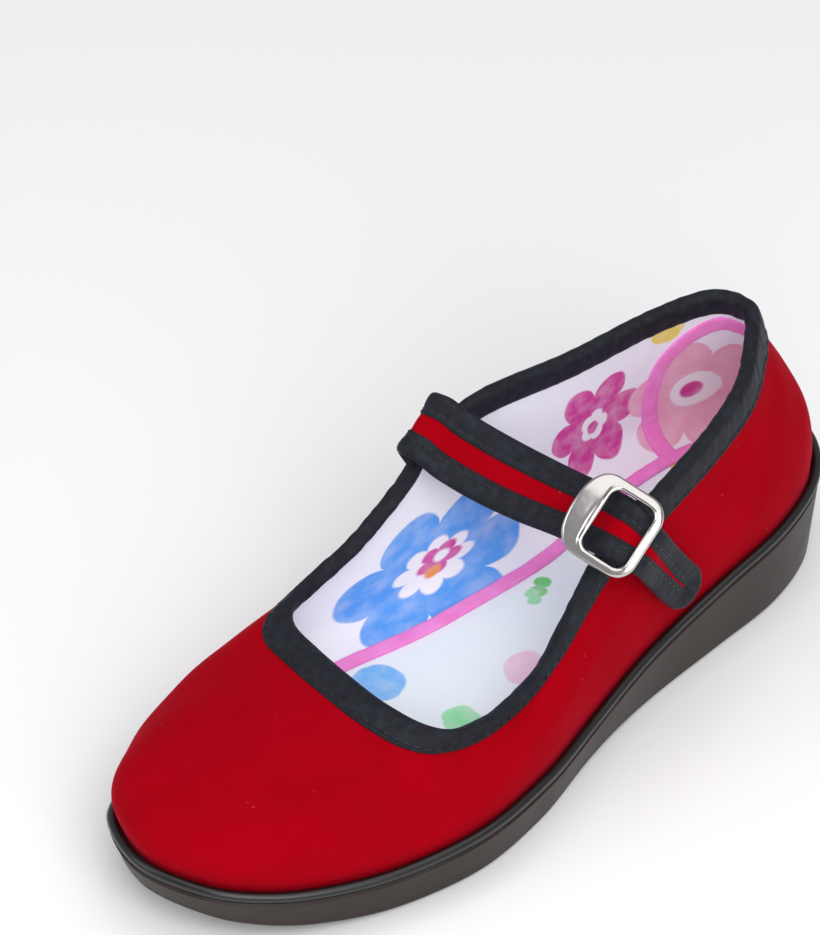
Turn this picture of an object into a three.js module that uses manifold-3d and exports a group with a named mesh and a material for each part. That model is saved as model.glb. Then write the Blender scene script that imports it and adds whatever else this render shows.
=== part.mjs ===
// A left cloth strap shoe: velveteen upper, bias-bound topline and strap, moulded wedge sole.
// Millimetres. X runs from the heel to the toe, Y from the wearer's right to their left, Z up.
import * as THREE from "three";
import { mergeVertices } from "three/addons/utils/BufferGeometryUtils.js";
import Module from "manifold-3d";

const wasm = await Module();
wasm.setup();

// Sole sizes
const shoeLength = 245;
const heelWidth = 60.5;
const waistWidth = 61.5;
const ballWidth = 89.7;
const heelStack = 31;
const ballStack = 17;
const toeStack = 12;
const toeSpring = 10.8;
const archLift = 1.5;
const heelBevel = 1.6;
const wallDraft = 2;
const soleEdgeRound = 2;
const beadWidth = 2.4;
const beadHeight = 2.8;
const beadProud = 0.5;
const beadGrooveWidth = 1.4;
const beadGrooveDepth = 0.7;
const rimDepth = 4;

// Where the underside leaves the ground, as shares of the length
const springStart = 0.76;
const archMiddle = 0.45;
const archReach = 0.13;
const bevelEnd = 0.06;

// Tread sizes
const treadGrooveWidth = 2.2;
const treadGrooveDepth = 1.4;
const treadPitch = 9;
const treadMargin = 9;
const treadWave = 3;

// Upper sizes: heights are taken from the sole's top edge beside them
const collarHeight = 45.4;
const strapHeight = 42;
const throatHeight = 27.4;
const upperWall = 1.8;
const wallSwell = 3;
const pieceGap = 0.32;

// Bias binding sizes
const bindingWidth = 8;
const bindingInnerWidth = 5.2;
const bindingCloth = 0.9;
const bindingGap = 0.5;

// How far up and out the inside of a fold turns, as shares of its half width
const foldRise = 0.75;
const foldReach = 0.66;

// Strap sizes
const strapWidth = 20;
const strapThroughWidth = 18;
const tailWidth = 13.4;
const strapCore = 1;
const strapGap = 0.5;
const strapBindingWidth = 7.2;
const strapBindingNarrowing = 0.4;
const strapBindingCloth = 0.5;
const tailRide = 6;
const tipRide = 3.4;
const tailLength = 34;
const strapRootLift = 0.96;
const bindingEndGap = 1.6;
const tabWidth = 9;
const tabThickness = 1;
const tabDepth = 13;
const tabBarGap = 1.28;
const tabStrapGap = 1.92;
const tabRideGap = 0.64;

// Buckle sizes: along the strap, then across it
const windowLength = 15.5;
const plateLength = 8.5;
const plateCorner = 0.25;
const plateFlat = 0.55;
const endBarLength = 3;
const sideBarWidth = 3;
const buckleThickness = 1.8;
const buckleEdgeRound = 0.6;
const windowRound = 1.6;
const frameRound = 6;
const barDiameter = 1.6;
const buckleClearance = 0.9;
const buckleSideGap = 0.64;

// Insole sizes
const insoleThickness = 3;
const insoleCoveWidth = 9;
const insoleCoveHeight = 4;
const pipingWidth = 3;
const pipingHeight = 1.2;
const pipingLift = 0.64;

// The sole's plan: a row for each station from heel to toe, widths as shares of the width named
const outline = [
  { at: 0, of: heelWidth, lateral: 0, medial: 0 },
  { at: 0.02, of: heelWidth, lateral: 0.223, medial: -0.24 },
  { at: 0.07, of: heelWidth, lateral: 0.385, medial: -0.374 },
  { at: 0.15, of: heelWidth, lateral: 0.483, medial: -0.476 },
  { at: 0.25, of: heelWidth, lateral: 0.509, medial: -0.503 },
  { at: 0.36, of: waistWidth, lateral: 0.53, medial: -0.472 },
  { at: 0.48, of: waistWidth, lateral: 0.618, medial: -0.55 },
  { at: 0.59, of: ballWidth, lateral: 0.497, medial: -0.441 },
  { at: 0.69, of: ballWidth, lateral: 0.521, medial: -0.48 },
  { at: 0.79, of: ballWidth, lateral: 0.466, medial: -0.477 },
  { at: 0.87, of: ballWidth, lateral: 0.382, medial: -0.419 },
  { at: 0.93, of: ballWidth, lateral: 0.287, medial: -0.341 },
  { at: 0.975, of: ballWidth, lateral: 0.159, medial: -0.245 },
  { at: 1, of: ballWidth, lateral: -0.041, medial: -0.041 },
];

// The sole's thickness at its edge, as shares of the stack height named
const stackRows = [
  { at: 0, of: heelStack, share: 1 },
  { at: 0.12, of: heelStack, share: 0.955 },
  { at: 0.25, of: heelStack, share: 0.845 },
  { at: 0.36, of: heelStack, share: 0.708 },
  { at: 0.48, of: ballStack, share: 1 },
  { at: 0.6, of: ballStack, share: 1.01 },
  { at: 0.7, of: ballStack, share: 0.99 },
  { at: 0.85, of: ballStack, share: 0.895 },
  { at: 1, of: toeStack, share: 1 },
];

// The topline: where it stands over the length, its half widths as shares of the width in across,
// and its height over the sole's edge as shares of the height in of
const topline = [
  { lateralAt: 0.059, medialAt: 0.059, across: heelWidth, lateral: -0.099, medial: -0.099,
    of: collarHeight, lateralRise: 0.988, medialRise: 0.988 },
  { lateralAt: 0.069, medialAt: 0.067, across: heelWidth, lateral: -0.025, medial: -0.223,
    of: collarHeight, lateralRise: 0.986, medialRise: 0.997 },
  { lateralAt: 0.096, medialAt: 0.094, across: heelWidth, lateral: 0.074, medial: -0.306,
    of: collarHeight, lateralRise: 0.976, medialRise: 0.997 },
  { lateralAt: 0.155, medialAt: 0.158, across: heelWidth, lateral: 0.24, medial: -0.388,
    of: collarHeight, lateralRise: 0.961, medialRise: 0.991 },
  { lateralAt: 0.233, medialAt: 0.257, across: heelWidth, lateral: 0.347, medial: -0.468,
    of: collarHeight, lateralRise: 0.949, medialRise: 0.999 },
  { lateralAt: 0.335, medialAt: 0.371, across: waistWidth, lateral: 0.403, medial: -0.563,
    of: collarHeight, lateralRise: 0.927, medialRise: 1.058 },
  { lateralAt: 0.424, medialAt: 0.438, across: waistWidth, lateral: 0.431, medial: -0.597,
    of: strapHeight, lateralRise: 0.935, medialRise: 1.047 },
  { lateralAt: 0.498, medialAt: 0.494, across: ballWidth, lateral: 0.326, medial: -0.404,
    of: strapHeight, lateralRise: 0.691, medialRise: 0.869 },
  { lateralAt: 0.555, medialAt: 0.563, across: ballWidth, lateral: 0.35, medial: -0.392,
    of: throatHeight, lateralRise: 0.793, medialRise: 1.093 },
  { lateralAt: 0.62, medialAt: 0.629, across: ballWidth, lateral: 0.366, medial: -0.377,
    of: throatHeight, lateralRise: 0.703, medialRise: 0.995 },
  { lateralAt: 0.673, medialAt: 0.673, across: ballWidth, lateral: 0.346, medial: -0.351,
    of: throatHeight, lateralRise: 0.767, medialRise: 0.96 },
  { lateralAt: 0.702, medialAt: 0.698, across: ballWidth, lateral: 0.284, medial: -0.284,
    of: throatHeight, lateralRise: 0.857, medialRise: 0.947 },
  { lateralAt: 0.716, medialAt: 0.71, across: ballWidth, lateral: 0.156, medial: -0.151,
    of: throatHeight, lateralRise: 0.945, medialRise: 0.98 },
  { lateralAt: 0.717, medialAt: 0.717, across: ballWidth, lateral: 0.011, medial: 0.011,
    of: throatHeight, lateralRise: 0.989, medialRise: 0.989 },
];

// How each section of the upper bends between the sole's edge and the topline: rise and the drops
// are shares of its height, the swells shares of wallSwell, the reaches shares of its distance in plan
const bends = [
  { rise: 0.42, lateralSwell: 0.9, medialSwell: 0.9,
    lateralDrop: 0.38, lateralReach: 0.35, medialDrop: 0.38, medialReach: 0.35 },
  { rise: 0.42, lateralSwell: 0.9, medialSwell: 0.9,
    lateralDrop: 0.38, lateralReach: 0.35, medialDrop: 0.38, medialReach: 0.35 },
  { rise: 0.42, lateralSwell: 0.9, medialSwell: 0.9,
    lateralDrop: 0.36, lateralReach: 0.32, medialDrop: 0.36, medialReach: 0.32 },
  { rise: 0.42, lateralSwell: 0.9, medialSwell: 0.9,
    lateralDrop: 0.36, lateralReach: 0.28, medialDrop: 0.36, medialReach: 0.28 },
  { rise: 0.42, lateralSwell: 0.9, medialSwell: 0.9,
    lateralDrop: 0.36, lateralReach: 0.22, medialDrop: 0.36, medialReach: 0.22 },
  { rise: 0.44, lateralSwell: 0.9, medialSwell: 0.9,
    lateralDrop: 0.34, lateralReach: 0.15, medialDrop: 0.34, medialReach: 0.15 },
  { rise: 0.46, lateralSwell: 0.9, medialSwell: 0.9,
    lateralDrop: 0.34, lateralReach: 0.15, medialDrop: 0.3, medialReach: 0.15 },
  { rise: 0.5, lateralSwell: 1, medialSwell: 1,
    lateralDrop: 0.34, lateralReach: 0.2, medialDrop: 0.3, medialReach: 0.3 },
  { rise: 0.55, lateralSwell: 1.1, medialSwell: 1.2,
    lateralDrop: 0.32, lateralReach: 0.25, medialDrop: 0.28, medialReach: 0.3 },
  { rise: 0.6, lateralSwell: 1.3, medialSwell: 1.7,
    lateralDrop: 0.3, lateralReach: 0.3, medialDrop: 0.22, medialReach: 0.38 },
  { rise: 0.66, lateralSwell: 1.7, medialSwell: 2.4,
    lateralDrop: 0.24, lateralReach: 0.36, medialDrop: 0.14, medialReach: 0.44 },
  { rise: 0.7, lateralSwell: 2.1, medialSwell: 3,
    lateralDrop: 0.12, lateralReach: 0.46, medialDrop: 0.06, medialReach: 0.5 },
  { rise: 0.74, lateralSwell: 2.4, medialSwell: 3.2,
    lateralDrop: 0, lateralReach: 0.52, medialDrop: -0.02, medialReach: 0.52 },
  { rise: 0.76, lateralSwell: 2.5, medialSwell: 3,
    lateralDrop: -0.03, lateralReach: 0.52, medialDrop: -0.03, medialReach: 0.52 },
];

// The strap's route from its root to its tail: place over the length, place to the side as a share
// of the waist's width, rise over the sole's edge; then, in degrees, how its width falls towards the
// toe, how it turns towards the lateral side and how far its face has rolled over; then its width
const strapRows = [
  { at: 0.443, side: -0.587, rise: 1.113, fall: 34, turn: -1, roll: -10, width: 1 },
  { at: 0.448, side: -0.618, rise: 1.177, fall: 38, turn: 0, roll: 0, width: 0.96 },
  { at: 0.453, side: -0.611, rise: 1.229, fall: 41, turn: 0, roll: 42, width: 0.94 },
  { at: 0.455, side: -0.574, rise: 1.252, fall: 43, turn: 0, roll: 86, width: 0.96 },
  { at: 0.451, side: -0.517, rise: 1.233, fall: 44, turn: 1, roll: 112, width: 0.98 },
  { at: 0.445, side: -0.423, rise: 1.162, fall: 44, turn: 2, roll: 114, width: 0.99 },
  { at: 0.434, side: -0.244, rise: 1.091, fall: 44, turn: 3, roll: 104, width: 0.99 },
  { at: 0.425, side: -0.028, rise: 1.069, fall: 44, turn: 4, roll: 97, width: 0.96 },
  { at: 0.42, side: 0.159, rise: 1.087, fall: 43, turn: 6, roll: 90, width: 0.91 },
  { at: 0.419, side: 0.353, rise: 1.131, fall: 42, turn: 9, roll: 84, width: 0.89 },
  { at: 0.417, side: 0.517, rise: 1.136, fall: 42, turn: 10, roll: 96, width: 0.86 },
  { at: 0.408, side: 0.612, rise: 0.998, fall: 36, turn: 8, roll: 140, width: 0.81 },
];
const buckleRow = 9.85;
const rootLie = { fall: 30, turn: -2, roll: -6 };
const tailLie = { fall: 33, turn: 3, roll: 172 };

// Stations of the strap on the topline, counted as rows of the tables above
const strapRootStation = 6.02;
const strapCrossStation = 5.62;
const tailEndStation = 4.65;

const stepsPerStation = 3;
const stationCount = outline.length - 1;
const loopSteps = 2 * stationCount * stepsPerStation;
const upperRows = 8;

// A smooth value between the rows of a table
function valueAt(rows, at) {
  const values = rows.map((row) => row.of * row.share);
  const slopes = rows.map((row, i) => {
    const before = Math.max(i - 1, 0);
    const after = Math.min(i + 1, rows.length - 1);
    return (values[after] - values[before]) / (rows[after].at - rows[before].at);
  });
  let i = 0;
  while (i < rows.length - 2 && at > rows[i + 1].at) i += 1;
  const span = rows[i + 1].at - rows[i].at;
  const u = (at - rows[i].at) / span;
  return (
    values[i] * (1 + 2 * u) * (1 - u) ** 2 +
    values[i + 1] * u * u * (3 - 2 * u) +
    span * u * (1 - u) * (slopes[i] * (1 - u) - slopes[i + 1] * u)
  );
}

function undersideHeight(at) {
  const spring = Math.max((at - springStart) / (1 - springStart), 0);
  const bevel = Math.max((bevelEnd - at) / bevelEnd, 0);
  const arch = Math.max(1 - Math.abs(at - archMiddle) / archReach, 0);
  return toeSpring * spring ** 2 + heelBevel * bevel ** 2 + archLift * arch * arch * (3 - 2 * arch);
}

function edgeHeight(at) {
  return undersideHeight(at) + valueAt(stackRows, at);
}

// A closed curve through the rows: heel, lateral side, toe, medial side
function loopOf(rows, pointFor) {
  const lateral = rows.map((row) => pointFor(row, "lateral"));
  const medial = rows.slice(1, -1).reverse().map((row) => pointFor(row, "medial"));
  return new THREE.CatmullRomCurve3([...lateral, ...medial], true, "catmullrom", 0.5);
}

const outlineLoop = loopOf(outline, (row, side) =>
  new THREE.Vector3(row.at * shoeLength, row[side] * row.of, 0));
const toplineLoop = loopOf(topline, (row, side) => {
  const at = row[`${side}At`];
  return new THREE.Vector3(at * shoeLength, row[side] * row.across,
    edgeHeight(at) + row[`${side}Rise`] * row.of);
});
const footBendLoop = loopOf(bends, (row, side) => new THREE.Vector3(row.rise, row[`${side}Swell`], 0));
const topBendLoop = loopOf(bends, (row, side) =>
  new THREE.Vector3(row[`${side}Drop`], row[`${side}Reach`], 0));

const wrap = (t) => ((t % 1) + 1) % 1;
const lateralShare = (station) => station / (2 * stationCount);
const medialShare = (station) => 1 - station / (2 * stationCount);

function outwardAt(t) {
  const along = outlineLoop.getTangent(wrap(t));
  return new THREE.Vector3(-along.y, along.x, 0).normalize();
}

// A point of the plan, moved outward, with the heights of the sole beside it
function outlineAt(t, outward) {
  const point = outlineLoop.getPoint(wrap(t));
  const at = THREE.MathUtils.clamp(point.x / shoeLength, 0, 1);
  point.addScaledVector(outwardAt(t), outward);
  return { point, bottom: undersideHeight(at), top: edgeHeight(at) };
}

const upperInset = beadWidth + pieceGap;

// The upper's outer surface: v is 0 at the sole's edge and 1 at the topline
function upperOuter(t, v) {
  const foot = outlineAt(t, -upperInset);
  const start = foot.point.setZ(foot.top);
  const end = toplineLoop.getPoint(wrap(t));
  const footBend = footBendLoop.getPoint(wrap(t));
  const topBend = topBendLoop.getPoint(wrap(t));
  const height = end.z - start.z;
  const low = start.clone().addScaledVector(outwardAt(t), wallSwell * footBend.y);
  low.z += height * footBend.x;
  const high = end.clone();
  high.x += (start.x - end.x) * topBend.y;
  high.y += (start.y - end.y) * topBend.y;
  high.z -= height * topBend.x;
  return new THREE.CubicBezierCurve3(start, low, high, end).getPoint(v);
}

const probe = 1e-3;

function upperFrame(t, v) {
  const up = upperOuter(t, Math.min(v + probe, 1)).sub(upperOuter(t, Math.max(v - probe, 0)));
  const along = upperOuter(t + probe, v).sub(upperOuter(t - probe, v));
  const speed = up.length() / (Math.min(v + probe, 1) - Math.max(v - probe, 0));
  up.normalize();
  const outward = new THREE.Vector3().crossVectors(up, along).normalize();
  return { up, outward, speed };
}

// A point beside the upper, so far below the topline and so far out of its outer face
function besideUpper(t, depth, offset) {
  const rim = upperFrame(t, 1);
  if (depth <= 0) {
    return upperOuter(t, 1).addScaledVector(rim.up, -depth).addScaledVector(rim.outward, offset);
  }
  let v = 1;
  let left = depth;
  const stride = 1;
  while (left > 0 && v > 0) {
    const step = Math.min(left, stride);
    v -= step / upperFrame(t, v).speed;
    left -= step;
  }
  v = Math.max(v, 0);
  return upperOuter(t, v).addScaledVector(upperFrame(t, v).outward, offset);
}

// Mesh building

function solidFrom(vertices, faces) {
  const geometry = new THREE.BufferGeometry();
  const numbers = vertices.flatMap((point) => point.toArray());
  geometry.setAttribute("position", new THREE.Float32BufferAttribute(numbers, 3));
  geometry.setIndex(faces.flat());
  return facingOut(geometry);
}

// Turns the faces over where the enclosed volume comes out negative
function facingOut(geometry) {
  const place = geometry.getAttribute("position");
  const index = geometry.index.array;
  const [a, b, c] = [new THREE.Vector3(), new THREE.Vector3(), new THREE.Vector3()];
  let volume = 0;
  for (let i = 0; i < index.length; i += 3) {
    a.fromBufferAttribute(place, index[i]);
    b.fromBufferAttribute(place, index[i + 1]);
    c.fromBufferAttribute(place, index[i + 2]);
    volume += a.dot(b.cross(c));
  }
  if (volume < 0) {
    for (let i = 0; i < index.length; i += 3) {
      [index[i + 1], index[i + 2]] = [index[i + 2], index[i + 1]];
    }
  }
  geometry.computeVertexNormals();
  return geometry;
}

function quadFaces(a, b, c, d) {
  return [[a, b, c], [a, c, d]];
}

// Rings of points joined in turn; the path closes on itself, or its two ends are capped
function sweptSolid(rings, closedPath) {
  const count = rings[0].length;
  const faces = [];
  const last = closedPath ? rings.length : rings.length - 1;
  for (let i = 0; i < last; i += 1) {
    const next = (i + 1) % rings.length;
    for (let k = 0; k < count; k += 1) {
      const side = (k + 1) % count;
      faces.push(...quadFaces(i * count + k, i * count + side, next * count + side, next * count + k));
    }
  }
  if (!closedPath) {
    faces.push(...capFaces(rings[0]).map((face) => [...face].reverse()));
    const base = (rings.length - 1) * count;
    faces.push(...capFaces(rings[0]).map((face) => face.map((k) => base + k)));
  }
  return solidFrom(rings.flat(), faces);
}

// Triangles over one nearly flat ring, found in its own plane
function capFaces(ring) {
  const normal = new THREE.Vector3();
  ring.forEach((point, i) => {
    const next = ring[(i + 1) % ring.length];
    normal.add(new THREE.Vector3().crossVectors(point.clone().sub(ring[0]), next.clone().sub(ring[0])));
  });
  normal.normalize();
  const first = ring[1].clone().sub(ring[0]).cross(normal).normalize();
  const second = new THREE.Vector3().crossVectors(normal, first);
  const flat = ring.map((point) => new THREE.Vector2(point.dot(first), point.dot(second)));
  if (THREE.ShapeUtils.area(flat) < 0) {
    const count = flat.length - 1;
    return THREE.ShapeUtils.triangulateShape([...flat].reverse(), [])
      .map((face) => face.map((k) => count - k).reverse());
  }
  return THREE.ShapeUtils.triangulateShape(flat, []);
}

// A stack of equal loops from the underside to the top, each end closed by rungs across the shoe
function stackedSolid(loops) {
  const count = loops[0].length;
  const faces = [];
  for (let level = 0; level < loops.length - 1; level += 1) {
    for (let i = 0; i < count; i += 1) {
      const next = (i + 1) % count;
      const [low, high] = [level * count, (level + 1) * count];
      faces.push(...quadFaces(low + i, high + i, high + next, low + next));
    }
  }
  const top = (loops.length - 1) * count;
  faces.push(...rungFaces(count).map(([a, b, c]) => [c, b, a]));
  faces.push(...rungFaces(count).map((face) => face.map((k) => top + k)));
  return solidFrom(loops.flat(), faces);
}

function rungFaces(count) {
  const faces = [[0, count - 1, 1]];
  const half = count / 2;
  for (let i = 1; i < half - 1; i += 1) {
    faces.push(...quadFaces(i, count - i, count - i - 1, i + 1));
  }
  faces.push([half - 1, half + 1, half]);
  return faces;
}

function loopShares(steps) {
  return Array.from({ length: steps }, (_, i) => i / steps);
}

function planLoop(levelFor) {
  return loopShares(loopSteps).map((t) => levelFor(t));
}

function toManifold(geometry) {
  const bare = geometry.clone();
  bare.deleteAttribute("normal");
  bare.deleteAttribute("uv");
  const merged = mergeVertices(bare, 1e-4);
  const mesh = new wasm.Mesh({
    numProp: 3,
    vertProperties: Float32Array.from(merged.getAttribute("position").array),
    triVerts: Uint32Array.from(merged.index.array),
  });
  return new wasm.Manifold(mesh);
}

function fromManifold(solid) {
  const mesh = solid.getMesh();
  const geometry = new THREE.BufferGeometry();
  geometry.setAttribute("position", new THREE.BufferAttribute(mesh.vertProperties, 3));
  geometry.setIndex(new THREE.BufferAttribute(mesh.triVerts, 1));
  geometry.computeVertexNormals();
  return geometry;
}

// Outsole: a drafted wall under a raised bead, with a rim that holds the upper

function soleWallLoop(outward, heightFor) {
  return planLoop((t) => {
    const edge = outlineAt(t, outward);
    return edge.point.setZ(heightFor(edge));
  });
}

function outsoleGeometry() {
  const beadRadius = beadHeight / 2;
  const wallTop = (edge) => edge.top - beadHeight - beadGrooveWidth;
  const loops = [
    soleWallLoop(-wallDraft - soleEdgeRound, (edge) => edge.bottom),
    soleWallLoop(-wallDraft - 0.3 * soleEdgeRound, (edge) => edge.bottom + 0.3 * soleEdgeRound),
    soleWallLoop(-wallDraft, (edge) => edge.bottom + soleEdgeRound),
    soleWallLoop(-wallDraft / 2, (edge) => (edge.bottom + soleEdgeRound + wallTop(edge)) / 2),
    soleWallLoop(0, wallTop),
    soleWallLoop(-beadGrooveDepth, (edge) => edge.top - beadHeight - beadGrooveWidth / 2),
  ];
  const beadMiddle = (beadProud - beadWidth) / 2;
  const beadReach = (beadProud + beadWidth) / 2;
  for (const angle of [-60, -10, 40, 90, 150]) {
    const turn = THREE.MathUtils.degToRad(angle);
    loops.push(soleWallLoop(beadMiddle + beadReach * Math.cos(turn),
      (edge) => edge.top - beadRadius + beadRadius * Math.sin(turn)));
  }
  loops.push(soleWallLoop(-beadWidth, (edge) => edge.top - rimDepth));
  let solid = toManifold(stackedSolid(loops));
  for (const groove of treadGrooves()) {
    solid = solid.subtract(toManifold(groove));
  }
  return fromManifold(solid);
}

// Plan half width of the sole at one place along the length
function halfWidthAt(x, side) {
  const turn = side === "lateral" ? lateralShare : medialShare;
  let [low, high] = [0, stationCount];
  for (let i = 0; i < 30; i += 1) {
    const middle = (low + high) / 2;
    if (outlineLoop.getPoint(wrap(turn(middle))).x < x) low = middle;
    else high = middle;
  }
  return outlineLoop.getPoint(wrap(turn(low))).y;
}

// Waved grooves across the flat parts of the heel and the forefoot
function treadGrooves() {
  const grooves = [];
  const heelBands = [[0.1, 0.17], [0.24, 0.31]];
  const forefootBand = [[archMiddle + archReach + 0.02, springStart - 0.02]];
  for (const [from, to] of [...heelBands, ...forefootBand]) {
    const count = Math.floor(((to - from) * shoeLength) / treadPitch);
    for (let i = 0; i <= count; i += 1) {
      grooves.push(treadGroove(from * shoeLength + i * treadPitch));
    }
  }
  return grooves;
}

function treadGroove(x) {
  const left = halfWidthAt(x, "lateral") - treadMargin;
  const right = halfWidthAt(x, "medial") + treadMargin;
  const shape = new THREE.Shape();
  const turns = 4;
  const front = [];
  const back = [];
  for (let k = 0; k <= turns; k += 1) {
    const y = left + ((right - left) * k) / turns;
    const wave = k % 2 === 0 ? 0 : treadWave;
    front.push(new THREE.Vector2(x + wave + treadGrooveWidth, y));
    back.unshift(new THREE.Vector2(x + wave, y));
  }
  shape.setFromPoints([...front, ...back]);
  const geometry = new THREE.ExtrudeGeometry(shape, { depth: 2 * treadGrooveDepth, bevelEnabled: false });
  geometry.translate(0, 0, -treadGrooveDepth);
  return geometry;
}

// Upper: one wall from the sole's rim to the topline, open above and underneath

function upperGeometry() {
  const rings = loopShares(loopSteps).map((t) => {
    const foot = outlineAt(t, -upperInset);
    const footInner = outlineAt(t, -upperInset - upperWall);
    const seat = foot.top - rimDepth + pieceGap;
    const outer = [foot.point.setZ(seat)];
    const inner = [footInner.point.setZ(seat)];
    for (let k = 0; k <= upperRows; k += 1) {
      const v = k / upperRows;
      const point = upperOuter(t, v);
      const wall = k === 0 ? outwardAt(t) : upperFrame(t, v).outward;
      outer.push(point);
      inner.push(point.clone().addScaledVector(wall, -upperWall));
    }
    return [...outer, ...inner.reverse()];
  });
  return sweptSolid(rings, true);
}

// Topline binding: a folded band over the rim, from one side of the strap round to the other

function toplineShareAway(from, distance, direction) {
  const start = toplineLoop.getPoint(wrap(from));
  const stride = 1e-4;
  let t = from;
  while (toplineLoop.getPoint(wrap(t)).distanceTo(start) < distance) t += direction * stride;
  return t;
}

const strapRootShare = medialShare(strapRootStation);
const strapEdgeOut = strapWidth / 2 + bindingEndGap;

function toplineBindingGeometry() {
  const start = toplineShareAway(strapRootShare, strapEdgeOut, 1);
  const end = toplineShareAway(strapRootShare, strapEdgeOut, -1) + 1;
  const first = Math.ceil(start * loopSteps + 0.2);
  const last = Math.floor(end * loopSteps - 0.2);
  const shares = [start];
  for (let i = first; i <= last; i += 1) shares.push(i / loopSteps);
  return sweptSolid([...shares, end].map((t) => bindingRing(t)), false);
}

function bindingRing(t) {
  const outerFace = bindingGap + bindingCloth;
  const innerFace = -upperWall - bindingGap;
  const rimMiddle = -upperWall / 2;
  const fold = upperWall / 2 + bindingGap;
  const roll = fold + bindingCloth;
  const ring = [
    besideUpper(t, bindingWidth, outerFace),
    besideUpper(t, bindingWidth / 2, outerFace),
    besideUpper(t, 0, outerFace),
  ];
  for (const angle of [45, 90, 135]) {
    const turn = THREE.MathUtils.degToRad(angle);
    ring.push(besideUpper(t, -roll * Math.sin(turn), rimMiddle + roll * Math.cos(turn)));
  }
  ring.push(besideUpper(t, 0, innerFace - bindingCloth));
  ring.push(besideUpper(t, bindingInnerWidth, innerFace - bindingCloth));
  ring.push(besideUpper(t, bindingInnerWidth, innerFace));
  ring.push(besideUpper(t, bindingInnerWidth / 2, innerFace));
  ring.push(besideUpper(t, 0, innerFace));
  for (const side of [-1, 1]) {
    ring.push(besideUpper(t, -foldRise * fold, rimMiddle + side * foldReach * fold));
  }
  ring.push(besideUpper(t, 0, bindingGap));
  ring.push(besideUpper(t, bindingWidth / 2, bindingGap));
  ring.push(besideUpper(t, bindingWidth, bindingGap));
  return ring;
}

// Strap: rises from the medial topline, crosses the instep and hangs down the lateral side

const strapHalf = strapCore / 2 + strapGap + strapBindingCloth;

function strapRoute() {
  const rootFrame = upperFrame(strapRootShare, 1);
  const start = upperOuter(strapRootShare, 1)
    .addScaledVector(rootFrame.up, strapRootLift).addScaledVector(rootFrame.outward, -upperWall / 2);
  const free = strapRows.map((row) => ({
    ...row,
    place: new THREE.Vector3(row.at * shoeLength, row.side * waistWidth,
      edgeHeight(row.at) + row.rise * strapHeight),
    width: row.width * strapWidth,
  }));
  const tail = [0.35, 0.7, 1].map((share) => {
    const turn = lateralShare(THREE.MathUtils.lerp(strapCrossStation, tailEndStation, share));
    const ride = THREE.MathUtils.lerp(tailRide, tipRide, share);
    return { ...tailLie, place: besideUpper(turn, tailLength * share, ride), width: tailWidth };
  });
  return [{ ...rootLie, place: start, width: strapWidth }, ...free, ...tail];
}

const route = strapRoute();
const routeCurve = new THREE.CatmullRomCurve3(route.map((row) => row.place), false, "catmullrom", 0.5);
const lieCurve = new THREE.CatmullRomCurve3(
  route.map((row) => new THREE.Vector3(row.fall, row.turn, row.roll)), false, "catmullrom", 0.5);
const widthCurve = new THREE.CatmullRomCurve3(
  route.map((row) => new THREE.Vector3(row.width, 0, 0)), false, "catmullrom", 0.5);
const routeBuckle = (buckleRow + 1) / (route.length - 1);

function strapFrame(u) {
  const place = routeCurve.getPoint(u);
  const [fall, turn, roll] = lieCurve.getPoint(u).toArray().map((angle) => THREE.MathUtils.degToRad(angle));
  const across = new THREE.Vector3(
    Math.cos(fall) * Math.cos(turn), Math.cos(fall) * Math.sin(turn), -Math.sin(fall));
  const medial = new THREE.Vector3(Math.sin(turn), -Math.cos(turn), 0);
  const upward = new THREE.Vector3().crossVectors(medial, across);
  const facing = medial.multiplyScalar(Math.cos(roll)).addScaledVector(upward, Math.sin(roll));
  const along = new THREE.Vector3().crossVectors(facing, across);
  return { place, along, across, facing, half: widthCurve.getPoint(u).x / 2, atRoot: u === 0 };
}

// A point of the strap: so far towards the toe from its middle and so far out of its middle layer
function onStrap(frame, across, out) {
  if (frame.atRoot) return overRootRim(across, out);
  return frame.place.clone().addScaledVector(frame.across, across).addScaledVector(frame.facing, out);
}

// The strap's lower end follows the rim that it rises from
function overRootRim(across, out) {
  const turn = toplineShareAway(strapRootShare, Math.abs(across), -Math.sign(across) || 1);
  return besideUpper(turn, -strapRootLift, out - upperWall / 2);
}

// Shares of the route, two to each of its rows, ending one tail radius before its end
function strapShares() {
  const tipRadius = tailWidth / 2;
  const end = routeCurve.getPoint(1);
  let last = 1;
  while (routeCurve.getPoint(last).distanceTo(end) < tipRadius) last -= probe;
  const spans = route.length - 1;
  const shares = [];
  for (let span = 0; span < spans; span += 1) {
    shares.push(span / spans, (span + 0.5) / spans);
  }
  return [...shares.filter((share) => share < last - probe * 10), last];
}

const strapEdgeIn = strapGap + strapBindingCloth;

function strapGeometry() {
  const shares = strapShares();
  const rings = shares.map((u) => {
    const frame = strapFrame(u);
    return strapRing(frame, frame.half - strapEdgeIn);
  });
  const tip = strapFrame(shares.at(-1));
  const radius = tip.half - strapEdgeIn;
  for (const angle of [30, 55, 78]) {
    const turn = THREE.MathUtils.degToRad(angle);
    const place = tip.place.clone().addScaledVector(tip.along, radius * Math.sin(turn));
    rings.push(strapRing({ ...tip, place }, radius * Math.cos(turn)));
  }
  return sweptSolid(rings, false);
}

function strapRing(frame, half) {
  const out = strapCore / 2;
  const hem = hemOf(frame);
  return [[-half, -out], [-hem, -out], [hem, -out], [half, -out],
    [half, out], [hem, out], [-hem, out], [-half, out]]
    .map(([across, lift]) => onStrap(frame, across, lift));
}

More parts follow.
